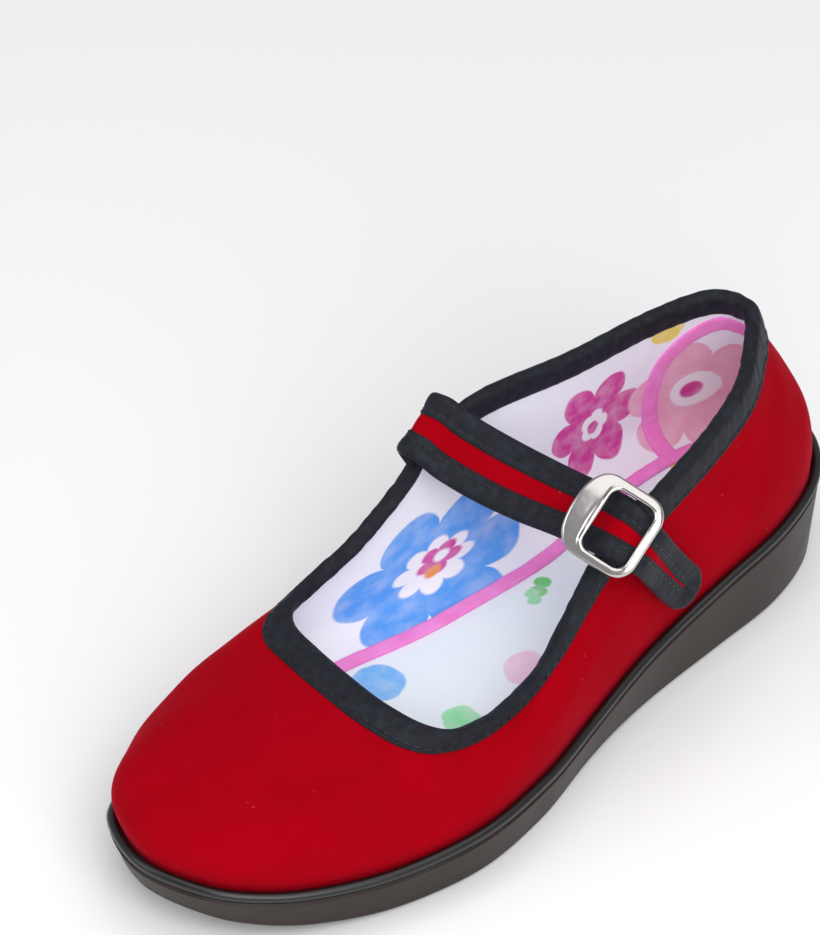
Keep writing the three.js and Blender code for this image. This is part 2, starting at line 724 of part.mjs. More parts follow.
// Strap binding: one folded band up the rear edge, round the tip and back along the front edge
function strapBindingGeometry() {
  const frames = strapShares().map((u) => strapFrame(u));
  const rings = frames.map((frame) => foldRing(frame, (reach, out) => onStrap(frame, -reach, out)));
  const tip = frames.at(-1);
  for (const angle of [30, 60, 90, 120, 150]) {
    const turn = THREE.MathUtils.degToRad(angle);
    rings.push(foldRing(tip, (reach, out) => onStrap(tip, -reach * Math.cos(turn), out)
      .addScaledVector(tip.along, reach * Math.sin(turn))));
  }
  for (const frame of frames.reverse()) {
    rings.push(foldRing(frame, (reach, out) => onStrap(frame, reach, out)));
  }
  return sweptSolid(rings, false);
}

// How far from the strap's middle its binding ends
function hemOf(frame) {
  return frame.half - strapBindingWidth + (strapWidth / 2 - frame.half) * strapBindingNarrowing;
}

// A folded section round one edge of the strap
function foldRing(frame, pointAt) {
  const outer = strapHalf;
  const inner = strapCore / 2 + strapGap;
  const edge = frame.half;
  const fold = edge - strapBindingCloth;
  const hem = hemOf(frame);
  return [
    pointAt(hem, outer),
    pointAt(fold, outer),
    pointAt(edge, inner),
    pointAt(edge, -inner),
    pointAt(fold, -outer),
    pointAt(hem, -outer),
    pointAt(hem, -inner),
    pointAt(fold, -inner),
    pointAt(fold, inner),
    pointAt(hem, inner),
  ];
}

// Buckle: a domed plate, a window and an end bar over the strap, and a hidden bar under it

function buckleShape() {
  const half = strapThroughWidth / 2 + buckleSideGap + sideBarWidth;
  const end = windowLength / 2 + endBarLength;
  const start = -windowLength / 2 - plateLength;
  const shape = new THREE.Shape();
  shape.moveTo(end, -half + frameRound);
  shape.lineTo(end, half - frameRound);
  shape.absarc(end - frameRound, half - frameRound, frameRound, 0, Math.PI / 2, false);
  shape.lineTo(-windowLength / 2, half);
  const corner = start + plateLength * plateCorner;
  const flat = half * plateFlat;
  shape.bezierCurveTo(corner, half, start, flat, start, 0);
  shape.bezierCurveTo(start, -flat, corner, -half, -windowLength / 2, -half);
  shape.lineTo(end - frameRound, -half);
  shape.absarc(end - frameRound, -half + frameRound, frameRound, -Math.PI / 2, 0, false);
  const hole = new THREE.Path();
  const [hx, hy, r] = [windowLength / 2, half - sideBarWidth, windowRound];
  hole.absarc(hx - r, hy - r, r, 0, Math.PI / 2, false);
  hole.absarc(-hx + r, hy - r, r, Math.PI / 2, Math.PI, false);
  hole.absarc(-hx + r, -hy + r, r, Math.PI, 1.5 * Math.PI, false);
  hole.absarc(hx - r, -hy + r, r, 1.5 * Math.PI, 2 * Math.PI, false);
  hole.closePath();
  shape.holes.push(hole);
  return shape;
}

function buckleGeometry() {
  const frame = new THREE.ExtrudeGeometry(buckleShape(), {
    depth: buckleThickness - 2 * buckleEdgeRound,
    bevelThickness: buckleEdgeRound,
    bevelSize: buckleEdgeRound,
    bevelOffset: -buckleEdgeRound,
    bevelSegments: 2,
    curveSegments: 5,
  });
  frame.translate(0, 0, buckleEdgeRound);
  const inner = strapThroughWidth / 2 + buckleSideGap;
  const barDrop = 2 * strapHalf + 2 * buckleClearance + barDiameter;
  const post = new THREE.BoxGeometry(barDiameter, sideBarWidth - 2 * buckleEdgeRound,
    barDrop + buckleThickness / 2);
  const bar = new THREE.CylinderGeometry(barDiameter / 2, barDiameter / 2,
    2 * inner + 2 * sideBarWidth - 2 * buckleEdgeRound, 10);
  bar.translate(0, 0, -barDrop + barDiameter / 2);
  let solid = toManifold(frame).add(toManifold(bar));
  for (const side of [-1, 1]) {
    const leg = post.clone();
    leg.translate(0, side * (inner + sideBarWidth / 2), (buckleThickness / 2 - barDrop) / 2);
    solid = solid.add(toManifold(leg));
  }
  const geometry = fromManifold(solid);
  const seat = strapFrame(routeBuckle);
  const reach = windowLength / routeCurve.getLength();
  const ahead = routeCurve.getPoint(routeBuckle + reach);
  const behind = routeCurve.getPoint(routeBuckle - reach);
  const along = ahead.sub(behind).normalize();
  const facing = new THREE.Vector3().crossVectors(seat.across, along).normalize();
  const across = new THREE.Vector3().crossVectors(facing, along);
  const place = seat.place.clone().addScaledVector(facing, strapHalf + buckleClearance);
  const turn = new THREE.Matrix4().makeBasis(along, across, facing);
  geometry.applyMatrix4(turn);
  geometry.translate(...place.toArray());
  return geometry;
}

// Tab: elastic that holds the buckle's hidden bar to the lateral side, between strap and upper
function buckleTabGeometry() {
  const clearBar = (barDiameter / 2 + tabBarGap) / routeCurve.getLength();
  const top = strapFrame(routeBuckle + clearBar);
  const cross = lateralShare(strapCrossStation);
  const ride = bindingCloth + bindingGap + tabRideGap + tabThickness / 2;
  const across = upperOuter(cross + probe, 1).sub(upperOuter(cross - probe, 1)).normalize();
  const curve = new THREE.CatmullRomCurve3([
    onStrap(top, 0, -strapHalf - tabStrapGap - tabThickness / 2),
    besideUpper(cross, tabDepth * 0.3, ride),
    besideUpper(cross, tabDepth * 0.6, ride),
    besideUpper(cross, tabDepth, ride),
  ], false, "catmullrom", 0.5);
  const rings = [0, 0.17, 0.33, 0.5, 0.67, 0.83, 1].map((share) => {
    const place = curve.getPoint(share);
    const facing = new THREE.Vector3().crossVectors(across, curve.getTangent(share)).normalize();
    const [half, thick] = [tabWidth / 2, tabThickness / 2];
    return [[-half, -thick], [half, -thick], [half, thick], [-half, thick]].map(([side, out]) =>
      place.clone().addScaledVector(across, side).addScaledVector(facing, out));
  });
  return sweptSolid(rings, false);
}

// Insole: fills the bottom of the upper, its edge turned up in a cove

const insoleInset = upperInset + upperWall + pieceGap;

function insoleLoop(inset, heightAboveSeat) {
  return planLoop((t) => {
    const edge = outlineAt(t, -inset);
    return edge.point.setZ(edge.top - rimDepth + pieceGap + heightAboveSeat);
  });
}

function insoleGeometry() {
  return stackedSolid([
    insoleLoop(insoleInset, 0),
    insoleLoop(insoleInset, insoleThickness + insoleCoveHeight),
    insoleLoop(insoleInset + insoleCoveWidth * 0.35, insoleThickness + insoleCoveHeight * 0.3),
    insoleLoop(insoleInset + insoleCoveWidth, insoleThickness),
  ]);
}

// Piping: a soft tape over the seam where the insole meets its cove
function insolePipingGeometry() {
  const inset = insoleInset + insoleCoveWidth + pipingWidth / 2;
  const rings = loopShares(loopSteps).map((t) => {
    const profile = [[-0.5, 0], [-0.25, 1], [0.25, 1], [0.5, 0]];
    return profile.map(([across, up]) => {
      const edge = outlineAt(t, -inset + across * pipingWidth);
      const seat = edge.top - rimDepth + insoleThickness + pipingLift;
      return edge.point.setZ(seat + up * pipingHeight);
    });
  });
  return sweptSolid(rings, true);
}

// Materials

function finish(color, roughness, metalness) {
  return new THREE.MeshStandardMaterial({ color, roughness, metalness });
}

const redVelveteen = finish(0xa30014, 0.95, 0);
const blackBias = finish(0x23262f, 0.75, 0);
const soleRubber = finish(0x372a26, 0.45, 0);
const whiteLining = finish(0xeef2fb, 0.9, 0);
const pinkTape = finish(0xf37ac8, 0.85, 0);
const silverMetal = finish(0xd8d8dc, 0.2, 1);
const blackElastic = finish(0x17171b, 0.85, 0);

const parts = [
  ["outsole", outsoleGeometry(), soleRubber],
  ["upper", upperGeometry(), redVelveteen],
  ["topline_binding", toplineBindingGeometry(), blackBias],
  ["strap", strapGeometry(), redVelveteen],
  ["strap_binding", strapBindingGeometry(), blackBias],
  ["buckle", buckleGeometry(), silverMetal],
  ["buckle_tab", buckleTabGeometry(), blackElastic],
  ["insole", insoleGeometry(), whiteLining],
  ["insole_piping", insolePipingGeometry(), pinkTape],
];

const group = new THREE.Group();
for (const [name, geometry, material] of parts) {
  const mesh = new THREE.Mesh(geometry, material);
  mesh.name = name;
  group.add(mesh);
}

// The origin is the middle of the shoe's box, on the ground
const box = new THREE.Box3().setFromObject(group);
group.position.set(-(box.min.x + box.max.x) / 2, -(box.min.y + box.max.y) / 2, -box.min.z);

export default group;
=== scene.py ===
# A left cloth strap shoe in red velveteen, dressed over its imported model.
# Tables are in millimetres from the heel's end, finished meshes in metres in the part's frame.
import math

import bmesh
import bpy
import numpy as np
from mathutils import Matrix, Vector


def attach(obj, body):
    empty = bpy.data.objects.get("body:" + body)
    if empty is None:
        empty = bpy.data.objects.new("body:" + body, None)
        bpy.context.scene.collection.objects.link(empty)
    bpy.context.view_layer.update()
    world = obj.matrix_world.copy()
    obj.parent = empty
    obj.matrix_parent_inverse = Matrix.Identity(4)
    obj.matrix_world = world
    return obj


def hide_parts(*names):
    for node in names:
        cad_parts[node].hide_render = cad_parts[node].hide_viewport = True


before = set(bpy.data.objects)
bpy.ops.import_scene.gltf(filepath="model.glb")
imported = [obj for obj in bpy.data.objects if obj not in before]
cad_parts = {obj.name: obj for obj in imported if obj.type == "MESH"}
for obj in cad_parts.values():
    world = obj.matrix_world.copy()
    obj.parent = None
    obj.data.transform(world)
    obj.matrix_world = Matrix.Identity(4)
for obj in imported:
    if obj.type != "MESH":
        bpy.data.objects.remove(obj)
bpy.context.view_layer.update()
print("frame loaded:", len(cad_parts), "nodes")

# the part's origin, seen from the heel's end of the last
rowOrigin = np.array((122.5, 1.65, 0.0))

camera = {
    "azimuth": 135.83,
    "elevation": 39.78,
    "roll": -0.4,
    "distance": 1.38,
    "target": (-0.03943, -0.07122, 0.02),
    "lens": 188.9,
}


def makeCamera():
    azimuth, elevation = math.radians(camera["azimuth"]), math.radians(camera["elevation"])
    back = Vector((
        math.sin(azimuth) * math.cos(elevation),
        -math.cos(azimuth) * math.cos(elevation),
        math.sin(elevation),
    ))
    data = bpy.data.cameras.new("photoCamera")
    data.lens = camera["lens"]
    data.sensor_width = 36
    data.clip_end = 20
    lens = bpy.data.objects.new("photoCamera", data)
    bpy.context.scene.collection.objects.link(lens)
    turn = back.to_track_quat("Z", "Y").to_matrix().to_4x4()
    roll = Matrix.Rotation(math.radians(camera["roll"]), 4, "Z")
    lens.matrix_world = Matrix.Translation(Vector(camera["target"]) + back * camera["distance"]) @ turn @ roll
    bpy.context.scene.camera = lens


makeCamera()

# The last: the shapes that every piece is cut to

last = {
    "length": 245,
    "widths": {"heel": 60.5, "waist": 61.5, "ball": 89.7},
    "stacks": {"heel": 31, "ball": 17, "toe": 12},
    "rises": {"collar": 45.4, "strap": 42, "throat": 27.4},
    "toeSpring": 10.8,
    "springStart": 0.76,
    "archLift": 1.5,
    "archMiddle": 0.45,
    "archReach": 0.13,
    "heelBevel": 1.6,
    "bevelEnd": 0.06,
    "upperInset": 2.72,
    "wallSwell": 3,
    # place over the length, width named, lateral and medial shares of it
    "outline": [
        (0, "heel", 0, 0),
        (0.02, "heel", 0.223, -0.24),
        (0.07, "heel", 0.385, -0.374),
        (0.15, "heel", 0.483, -0.476),
        (0.25, "heel", 0.509, -0.503),
        (0.36, "waist", 0.53, -0.472),
        (0.48, "waist", 0.618, -0.55),
        (0.59, "ball", 0.497, -0.441),
        (0.69, "ball", 0.521, -0.48),
        (0.79, "ball", 0.466, -0.477),
        (0.87, "ball", 0.382, -0.419),
        (0.93, "ball", 0.287, -0.341),
        (0.975, "ball", 0.159, -0.245),
        (1, "ball", -0.041, -0.041),
    ],
    # place over the length, stack named, share of it
    "stack": [
        (0, "heel", 1),
        (0.12, "heel", 0.955),
        (0.25, "heel", 0.845),
        (0.36, "heel", 0.708),
        (0.48, "ball", 1),
        (0.6, "ball", 1.01),
        (0.7, "ball", 0.99),
        (0.85, "ball", 0.895),
        (1, "toe", 1),
    ],
    # lateral and medial place, width named, lateral and medial share, rise named, lateral and medial share
    "topline": [
        (0.059, 0.059, "heel", -0.099, -0.099, "collar", 0.988, 0.988),
        (0.069, 0.067, "heel", -0.025, -0.223, "collar", 0.986, 0.997),
        (0.096, 0.094, "heel", 0.074, -0.306, "collar", 0.976, 0.997),
        (0.155, 0.158, "heel", 0.24, -0.388, "collar", 0.961, 0.991),
        (0.233, 0.257, "heel", 0.347, -0.468, "collar", 0.949, 0.999),
        (0.335, 0.371, "waist", 0.403, -0.563, "collar", 0.927, 1.058),
        (0.424, 0.438, "waist", 0.431, -0.597, "strap", 0.935, 1.047),
        (0.498, 0.494, "ball", 0.326, -0.404, "strap", 0.691, 0.869),
        (0.555, 0.563, "ball", 0.35, -0.392, "throat", 0.793, 1.093),
        (0.62, 0.629, "ball", 0.366, -0.377, "throat", 0.703, 0.995),
        (0.673, 0.673, "ball", 0.346, -0.351, "throat", 0.767, 0.96),
        (0.702, 0.698, "ball", 0.284, -0.284, "throat", 0.857, 0.947),
        (0.716, 0.71, "ball", 0.156, -0.151, "throat", 0.945, 0.98),
        (0.717, 0.717, "ball", 0.011, 0.011, "throat", 0.989, 0.989),
    ],
    # rise, lateral and medial swell, lateral drop and reach, medial drop and reach
    "bends": [
        (0.42, 0.9, 0.9, 0.38, 0.35, 0.38, 0.35),
        (0.42, 0.9, 0.9, 0.38, 0.35, 0.38, 0.35),
        (0.42, 0.9, 0.9, 0.36, 0.32, 0.36, 0.32),
        (0.42, 0.9, 0.9, 0.36, 0.28, 0.36, 0.28),
        (0.42, 0.9, 0.9, 0.36, 0.22, 0.36, 0.22),
        (0.44, 0.9, 0.9, 0.34, 0.15, 0.34, 0.15),
        (0.46, 0.9, 0.9, 0.34, 0.15, 0.3, 0.15),
        (0.5, 1, 1, 0.34, 0.2, 0.3, 0.3),
        (0.55, 1.1, 1.2, 0.32, 0.25, 0.28, 0.3),
        (0.6, 1.3, 1.7, 0.3, 0.3, 0.22, 0.38),
        (0.66, 1.7, 2.4, 0.24, 0.36, 0.14, 0.44),
        (0.7, 2.1, 3, 0.12, 0.46, 0.06, 0.5),
        (0.74, 2.4, 3.2, 0, 0.52, -0.02, 0.52),
        (0.76, 2.5, 3, -0.03, 0.52, -0.03, 0.52),
    ],
}


def eased(share):  # a share that starts and stops gently
    return share * share * (3 - 2 * share)


def bezierAt(places, w):  # a curve from the first of four places to the last
    a, b, c, d = places
    return a * (1 - w) ** 3 + 3 * b * w * (1 - w) ** 2 + 3 * c * w * w * (1 - w) + d * w ** 3


def lengthAlong(line):  # how far each point lies along its line, which runs the first way
    steps = np.linalg.norm(np.diff(line, axis=0), axis=-1)
    return np.concatenate([0 * steps[:1], steps.cumsum(0)])


def curveAt(points, t, closed):  # a smooth curve through the points, for t from 0 to 1
    points, t = np.asarray(points, float), np.asarray(t, float)
    count = len(points)
    if closed:
        place = np.mod(t, 1) * count
        first = np.minimum(np.floor(place).astype(int), count - 1)
        a, b, c, d = (points[(first + k) % count] for k in (-1, 0, 1, 2))
    else:
        longer = np.vstack([2 * points[0] - points[1], points, 2 * points[-1] - points[-2]])
        place = np.clip(t, 0, 1) * (count - 1)
        first = np.minimum(np.floor(place).astype(int), count - 2)
        a, b, c, d = (longer[first + k] for k in (0, 1, 2, 3))
    part = (place - first)[..., None]
    leave, arrive = (c - a) / 2, (d - b) / 2
    square, cube = 3 * (c - b) - 2 * leave - arrive, 2 * (b - c) + leave + arrive
    return b + part * (leave + part * (square + part * cube))


def loopOf(rows, pointFor):  # the lateral side from heel to toe, and the medial side back
    lateral = [pointFor(row, 0) for row in rows]
    medial = [pointFor(row, 1) for row in rows[-2:0:-1]]
    return np.array(lateral + medial, float)


def stackAt(at):  # how thick the sole is
    rows = last["stack"]
    places = np.array([row[0] for row in rows], float)
    values = np.array([last["stacks"][row[1]] * row[2] for row in rows])
    order = np.arange(len(rows))
    before, after = np.maximum(order - 1, 0), np.minimum(order + 1, len(rows) - 1)
    slopes = (values[after] - values[before]) / (places[after] - places[before])
    i = np.clip(np.searchsorted(places, at) - 1, 0, len(rows) - 2)
    span = places[i + 1] - places[i]
    u = (at - places[i]) / span
    blend = values[i] * (1 + 2 * u) * (1 - u) ** 2 + values[i + 1] * u * u * (3 - 2 * u)
    return blend + span * u * (1 - u) * (slopes[i] * (1 - u) - slopes[i + 1] * u)


def undersideAt(at):
    spring = np.maximum((at - last["springStart"]) / (1 - last["springStart"]), 0)
    bevel = np.maximum((last["bevelEnd"] - at) / last["bevelEnd"], 0)
    arch = eased(np.maximum(1 - np.abs(at - last["archMiddle"]) / last["archReach"], 0))
    return last["toeSpring"] * spring ** 2 + last["heelBevel"] * bevel ** 2 + last["archLift"] * arch


def edgeAt(at):
    return undersideAt(at) + stackAt(at)


def toplinePoint(row, side):  # side is 0 for the lateral and 1 for the medial one
    at = row[side]
    height = edgeAt(at) + row[6 + side] * last["rises"][row[5]]
    return at * last["length"], row[3 + side] * last["widths"][row[2]], height


outlinePoints = loopOf(
    last["outline"], lambda row, side: (row[0] * last["length"], row[2 + side] * last["widths"][row[1]], 0))
toplinePoints = loopOf(last["topline"], toplinePoint)
footBends = loopOf(last["bends"], lambda row, side: (row[0], row[1 + side], 0))
topBends = loopOf(last["bends"], lambda row, side: (row[3 + 2 * side], row[4 + 2 * side], 0))


def unit(vectors):
    return vectors / np.linalg.norm(vectors, axis=-1, keepdims=True)


def outwardAt(t):  # the level way out from the sole's plan
    along = curveAt(outlinePoints, t + 1e-4, True) - curveAt(outlinePoints, t - 1e-4, True)
    return unit(np.stack([-along[..., 1], along[..., 0], 0 * along[..., 0]], -1))


def outlineAt(t, outward):  # a line beside the sole's plan, and its places over the length
    t = np.asarray(t, float)
    point = curveAt(outlinePoints, t, True)
    at = np.clip(point[..., 0] / last["length"], 0, 1)
    point = point + outwardAt(t) * np.asarray(outward, float)[..., None]
    return point, at


def edgeRow(t, outward, lift):  # the same line, as high as the sole's edge
    row, at = outlineAt(t, outward)
    row[..., 2] = edgeAt(at) + lift
    return row


def upperAt(t, v):  # the upper's outer face: v is 0 at the sole's edge and 1 at the topline
    t, v = np.broadcast_arrays(np.asarray(t, float), np.asarray(v, float))
    start = edgeRow(t, -last["upperInset"], 0)
    end = curveAt(toplinePoints, t, True)
    foot, head = curveAt(footBends, t, True), curveAt(topBends, t, True)
    height = end[..., 2] - start[..., 2]
    low = start + outwardAt(t) * (last["wallSwell"] * foot[..., 1])[..., None]
    low[..., 2] += height * foot[..., 0]
    high = end.copy()
    high[..., :2] += (start - end)[..., :2] * head[..., 1:2]
    high[..., 2] -= height * head[..., 0]
    return bezierAt((start, low, high, end), np.clip(v, 0, 1)[..., None])


def upperWays(t, v):  # the way up and the way out of the upper's face
    probe = 1e-3
    v = np.clip(v, 0, 1)
    up = unit(upperAt(t, np.minimum(v + probe, 1)) - upperAt(t, np.maximum(v - probe, 0)))
    along = upperAt(t + probe, v) - upperAt(t - probe, v)
    return up, unit(np.cross(up, along))


def offUpper(t, v, offset):
    return upperAt(t, v) + upperWays(t, v)[1] * np.asarray(offset, float)[..., None]


def shareAtDepth(t, depth):  # the share v that lies so far below the topline, column by column
    steps = np.linspace(1, 0, 101)
    gone = lengthAlong(upperAt(t[None, :], steps[:, None]))
    return np.array([np.interp(depth[i], gone[:, i], steps) for i in range(len(t))])


def besideUpper(t, depth, offset):  # t holds columns; depth and offset hold a row for each
    v = shareAtDepth(t, np.maximum(depth, 0))
    columns = np.broadcast_to(t[:, None], v.shape)
    up, out = upperWays(columns, v)
    return upperAt(columns, v) + out * offset[..., None] + up * np.maximum(-depth, 0)[..., None]


# Mesh helpers

def pick(*pieces):  # selects these alone, the first of them active
    bpy.ops.object.select_all(action="DESELECT")
    for piece in pieces:
        piece.select_set(True)
    bpy.context.view_layer.objects.active = pieces[0]


def gridPiece(name, points, along=0.0, around=0.0):  # a grid bent to rows of points, with its UV in mm
    rows, columns = points.shape[:2]
    bpy.ops.object.select_all(action="DESELECT")
    bpy.ops.mesh.primitive_grid_add(x_subdivisions=columns - 1, y_subdivisions=rows - 1, size=2)
    piece = bpy.context.object
    piece.name = piece.data.name = name
    mesh = piece.data
    mesh.vertices.foreach_set("co", ((points.reshape(-1, 3) - rowOrigin) / 1000).ravel())
    corners = np.empty(len(mesh.loops), int)
    mesh.loops.foreach_get("vertex_index", corners)
    uv = np.stack([np.broadcast_to(along, (rows, columns)), np.broadcast_to(around, (rows, columns))], -1)
    mesh.uv_layers.active.data.foreach_set("uv", uv.reshape(-1, 2)[corners].ravel())
    mesh.update()
    return piece


def sewUp(piece, fill=False):  # merges the seams, closes open ends and faces everything outward
    pick(piece)
    bpy.ops.object.mode_set(mode="EDIT")
    bpy.ops.mesh.select_all(action="SELECT")
    bpy.ops.mesh.remove_doubles(threshold=2e-6)
    if fill:
        bpy.ops.mesh.select_all(action="SELECT")
        bpy.ops.mesh.fill_holes(sides=0)
        bpy.ops.mesh.select_all(action="SELECT")
    bpy.ops.mesh.normals_make_consistent(inside=False)
    bpy.ops.object.mode_set(mode="OBJECT")


def finishPiece(piece, material, nodes, angle):
    pick(piece)
    bpy.ops.object.shade_smooth_by_angle(angle=math.radians(angle))
    if not piece.data.materials:
        piece.data.materials.append(material)
    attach(piece, "root")
    if nodes:
        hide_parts(*nodes)
    print(piece.name, "made,", len(piece.data.polygons), "faces")


# Material helpers

def addNode(tree, kind, inputs=None, **settings):
    node = tree.nodes.new("ShaderNode" + kind)
    for key, value in settings.items():
        setattr(node, key, value)
    for key, value in (inputs or {}).items():
        if isinstance(value, bpy.types.NodeSocket):
            tree.links.new(value, node.inputs[key])
        else:
            node.inputs[key].default_value = value
    return node


def compute(tree, operation, *values):
    return addNode(tree, "Math", dict(enumerate(values)), operation=operation).outputs[0]


def mixColour(tree, share, first, second):  # each colour is a socket or three numbers
    first, second = (hue if isinstance(hue, bpy.types.NodeSocket) else (*hue, 1) for hue in (first, second))
    return addNode(tree, "Mix", {0: share, 6: first, 7: second}, data_type="RGBA").outputs[2]


def newMaterial(name, colour, finish):
    material = bpy.data.materials.new(name)
    material.use_nodes = True
    tree = material.node_tree
    shader = tree.nodes["Principled BSDF"]
    shader.inputs["Base Color"].default_value = (*colour, 1)
    for key, value in finish.items():
        shader.inputs[key].default_value = value
    return material, tree, shader


def roughen(tree, shader, heights):  # stacks bumps: each is a height socket, a strength and a depth in mm
    normal = None
    for height, strength, depth in heights:
        bump = addNode(tree, "Bump", {"Height": height, "Strength": strength, "Distance": depth / 1000})
        if normal:
            tree.links.new(normal, bump.inputs["Normal"])
        normal = bump.outputs["Normal"]
    tree.links.new(normal, shader.inputs["Normal"])


def objectPlace(tree):
    return addNode(tree, "TexCoord").outputs["Object"]


def surfacePlace(tree):
    return addNode(tree, "TexCoord").outputs["UV"]


def insolePlace(tree):  # millimetres from the part's origin
    return addNode(tree, "Mapping", {"Vector": objectPlace(tree), "Scale": (1000, 1000, 1000)}).outputs[0]


def split(tree, place):
    return addNode(tree, "SeparateXYZ", {0: place}).outputs


def noiseAt(tree, place, scale, detail=2):
    return addNode(tree, "TexNoise", {"Vector": place, "Scale": scale, "Detail": detail}).outputs["Fac"]


def ribsAt(tree, value, pitch):
    return compute(tree, "SINE", compute(tree, "MULTIPLY", value, 2 * math.pi / pitch))


def rampFrom(tree, value, low, high, start=0.0, end=1.0):
    limits = {"Value": value, "From Min": low, "From Max": high, "To Min": start, "To Max": end}
    return addNode(tree, "MapRange", limits).outputs["Result"]


# Red velveteen: a short cotton nap that lies in soft patches and lightens where it is seen edge on

velveteen = {
    "deep": (0.29, 0.0, 0.004),
    "bright": (0.4, 0.0, 0.007),
    "lint": (0.62, 0.12, 0.14),
    "finish": {"Roughness": 0.95, "Specular IOR Level": 0.04, "Sheen Weight": 0.28, "Sheen Roughness": 0.35,
               "Sheen Tint": (1.0, 0.08, 0.16, 1)},
    "patchScale": 60,
    "napScale": 3200,
    "napDepth": 0.22,
    "lintScale": 330,
    "lintPatches": 130,
    "lintShare": 0.3,
}


def velveteenMaterial():
    material, tree, shader = newMaterial("redVelveteen", velveteen["bright"], velveteen["finish"])
    place = objectPlace(tree)
    patches = rampFrom(tree, noiseAt(tree, place, velveteen["patchScale"], 3), 0.32, 0.68)
    nap = noiseAt(tree, place, velveteen["napScale"])
    pile = compute(tree, "MULTIPLY_ADD", nap, 0.6, compute(tree, "MULTIPLY", patches, 0.35))
    colour = mixColour(tree, pile, velveteen["deep"], velveteen["bright"])
    specks = addNode(tree, "TexVoronoi", {"Vector": place, "Scale": velveteen["lintScale"], "Randomness": 1})
    few = rampFrom(tree, noiseAt(tree, place, velveteen["lintPatches"], 1), 0.66, 0.72)
    lint = compute(tree, "MULTIPLY", few, rampFrom(tree, specks.outputs["Distance"], 0.16, 0.08))
    lint = compute(tree, "MULTIPLY", lint, velveteen["lintShare"])
    colour = mixColour(tree, lint, colour, velveteen["lint"])
    tree.links.new(colour, shader.inputs["Base Color"])
    roughen(tree, shader, [(nap, 0.5, velveteen["napDepth"]), (patches, 0.15, 0.3)])
    return material


# Black bias tape: fine cotton twill, faintly blue, puckered by its stitches

biasTape = {
    "colour": (0.0085, 0.0095, 0.015),
    "worn": (0.018, 0.021, 0.03),
    "finish": {"Roughness": 0.62, "Specular IOR Level": 0.22, "Sheen Weight": 0.04, "Sheen Roughness": 0.4,
               "Sheen Tint": (0.75, 0.82, 1.0, 1)},
    "threadPitch": 0.42,
    "puckerPitch": 3.1,
    "foldStretch": (0.3, 0.09, 1),
    "foldScale": 1.6,
    "wearScale": 380,
    "thread": (0.008, 0.008, 0.01),
    "threadFinish": {"Roughness": 0.4, "Specular IOR Level": 0.6},
    "twistScale": 5200,
}


def biasTapeMaterial():
    material, tree, shader = newMaterial("blackBiasTape", biasTape["colour"], biasTape["finish"])
    place = surfacePlace(tree)
    parts = split(tree, place)
    threads = ribsAt(tree, compute(tree, "ADD", parts["X"], parts["Y"]), biasTape["threadPitch"])
    puckers = ribsAt(tree, parts["X"], biasTape["puckerPitch"])
    stretched = addNode(tree, "Mapping", {"Vector": place, "Scale": biasTape["foldStretch"]}).outputs[0]
    folds = noiseAt(tree, stretched, biasTape["foldScale"], 3)
    wear = rampFrom(tree, noiseAt(tree, objectPlace(tree), biasTape["wearScale"], 3), 0.45, 0.8)
    tree.links.new(mixColour(tree, wear, biasTape["colour"], biasTape["worn"]), shader.inputs["Base Color"])
    roughen(tree, shader, [(folds, 0.3, 0.7), (puckers, 0.12, 0.16), (threads, 0.25, 0.05)])
    return material


def threadMaterial():
    material, tree, shader = newMaterial("blackThread", biasTape["thread"], biasTape["threadFinish"])
    roughen(tree, shader, [(noiseAt(tree, objectPlace(tree), biasTape["twistScale"], 1), 0.4, 0.08)])
    return material


# Moulded sole: satin rubber wall, brown-black, under a glossier black bead

soleRubber = {
    "wall": (0.031, 0.021, 0.018),
    "smudge": (0.052, 0.039, 0.035),
    "wallFinish": {"Roughness": 0.45, "Specular IOR Level": 0.2},
    "smudgeScale": 55,
    "smudgeRoughness": (0.42, 0.58),
    "grainScale": 1800,
    "swellScale": 90,
    "bead": (0.007, 0.007, 0.008),
    "beadFinish": {"Roughness": 0.3, "Specular IOR Level": 0.55},
    "beadSwellScale": 240,
}


def soleWallMaterial():
    material, tree, shader = newMaterial("soleWallRubber", soleRubber["wall"], soleRubber["wallFinish"])
    place = objectPlace(tree)
    smudges = rampFrom(tree, noiseAt(tree, place, soleRubber["smudgeScale"], 4), 0.5, 0.78)
    colour = mixColour(tree, smudges, soleRubber["wall"], soleRubber["smudge"])
    tree.links.new(colour, shader.inputs["Base Color"])
    tree.links.new(rampFrom(tree, smudges, 0, 1, *soleRubber["smudgeRoughness"]), shader.inputs["Roughness"])
    grain, swell = (noiseAt(tree, place, soleRubber[scale]) for scale in ("grainScale", "swellScale"))
    roughen(tree, shader, [(grain, 0.2, 0.05), (swell, 0.15, 0.2)])
    return material


def soleBeadMaterial():
    material, tree, shader = newMaterial("soleBeadRubber", soleRubber["bead"], soleRubber["beadFinish"])
    roughen(tree, shader, [(noiseAt(tree, objectPlace(tree), soleRubber["beadSwellScale"]), 0.2, 0.12)])
    return material


# Printed cotton lining: soft lilac white with scattered flowers, drawn on the lining's own millimetres

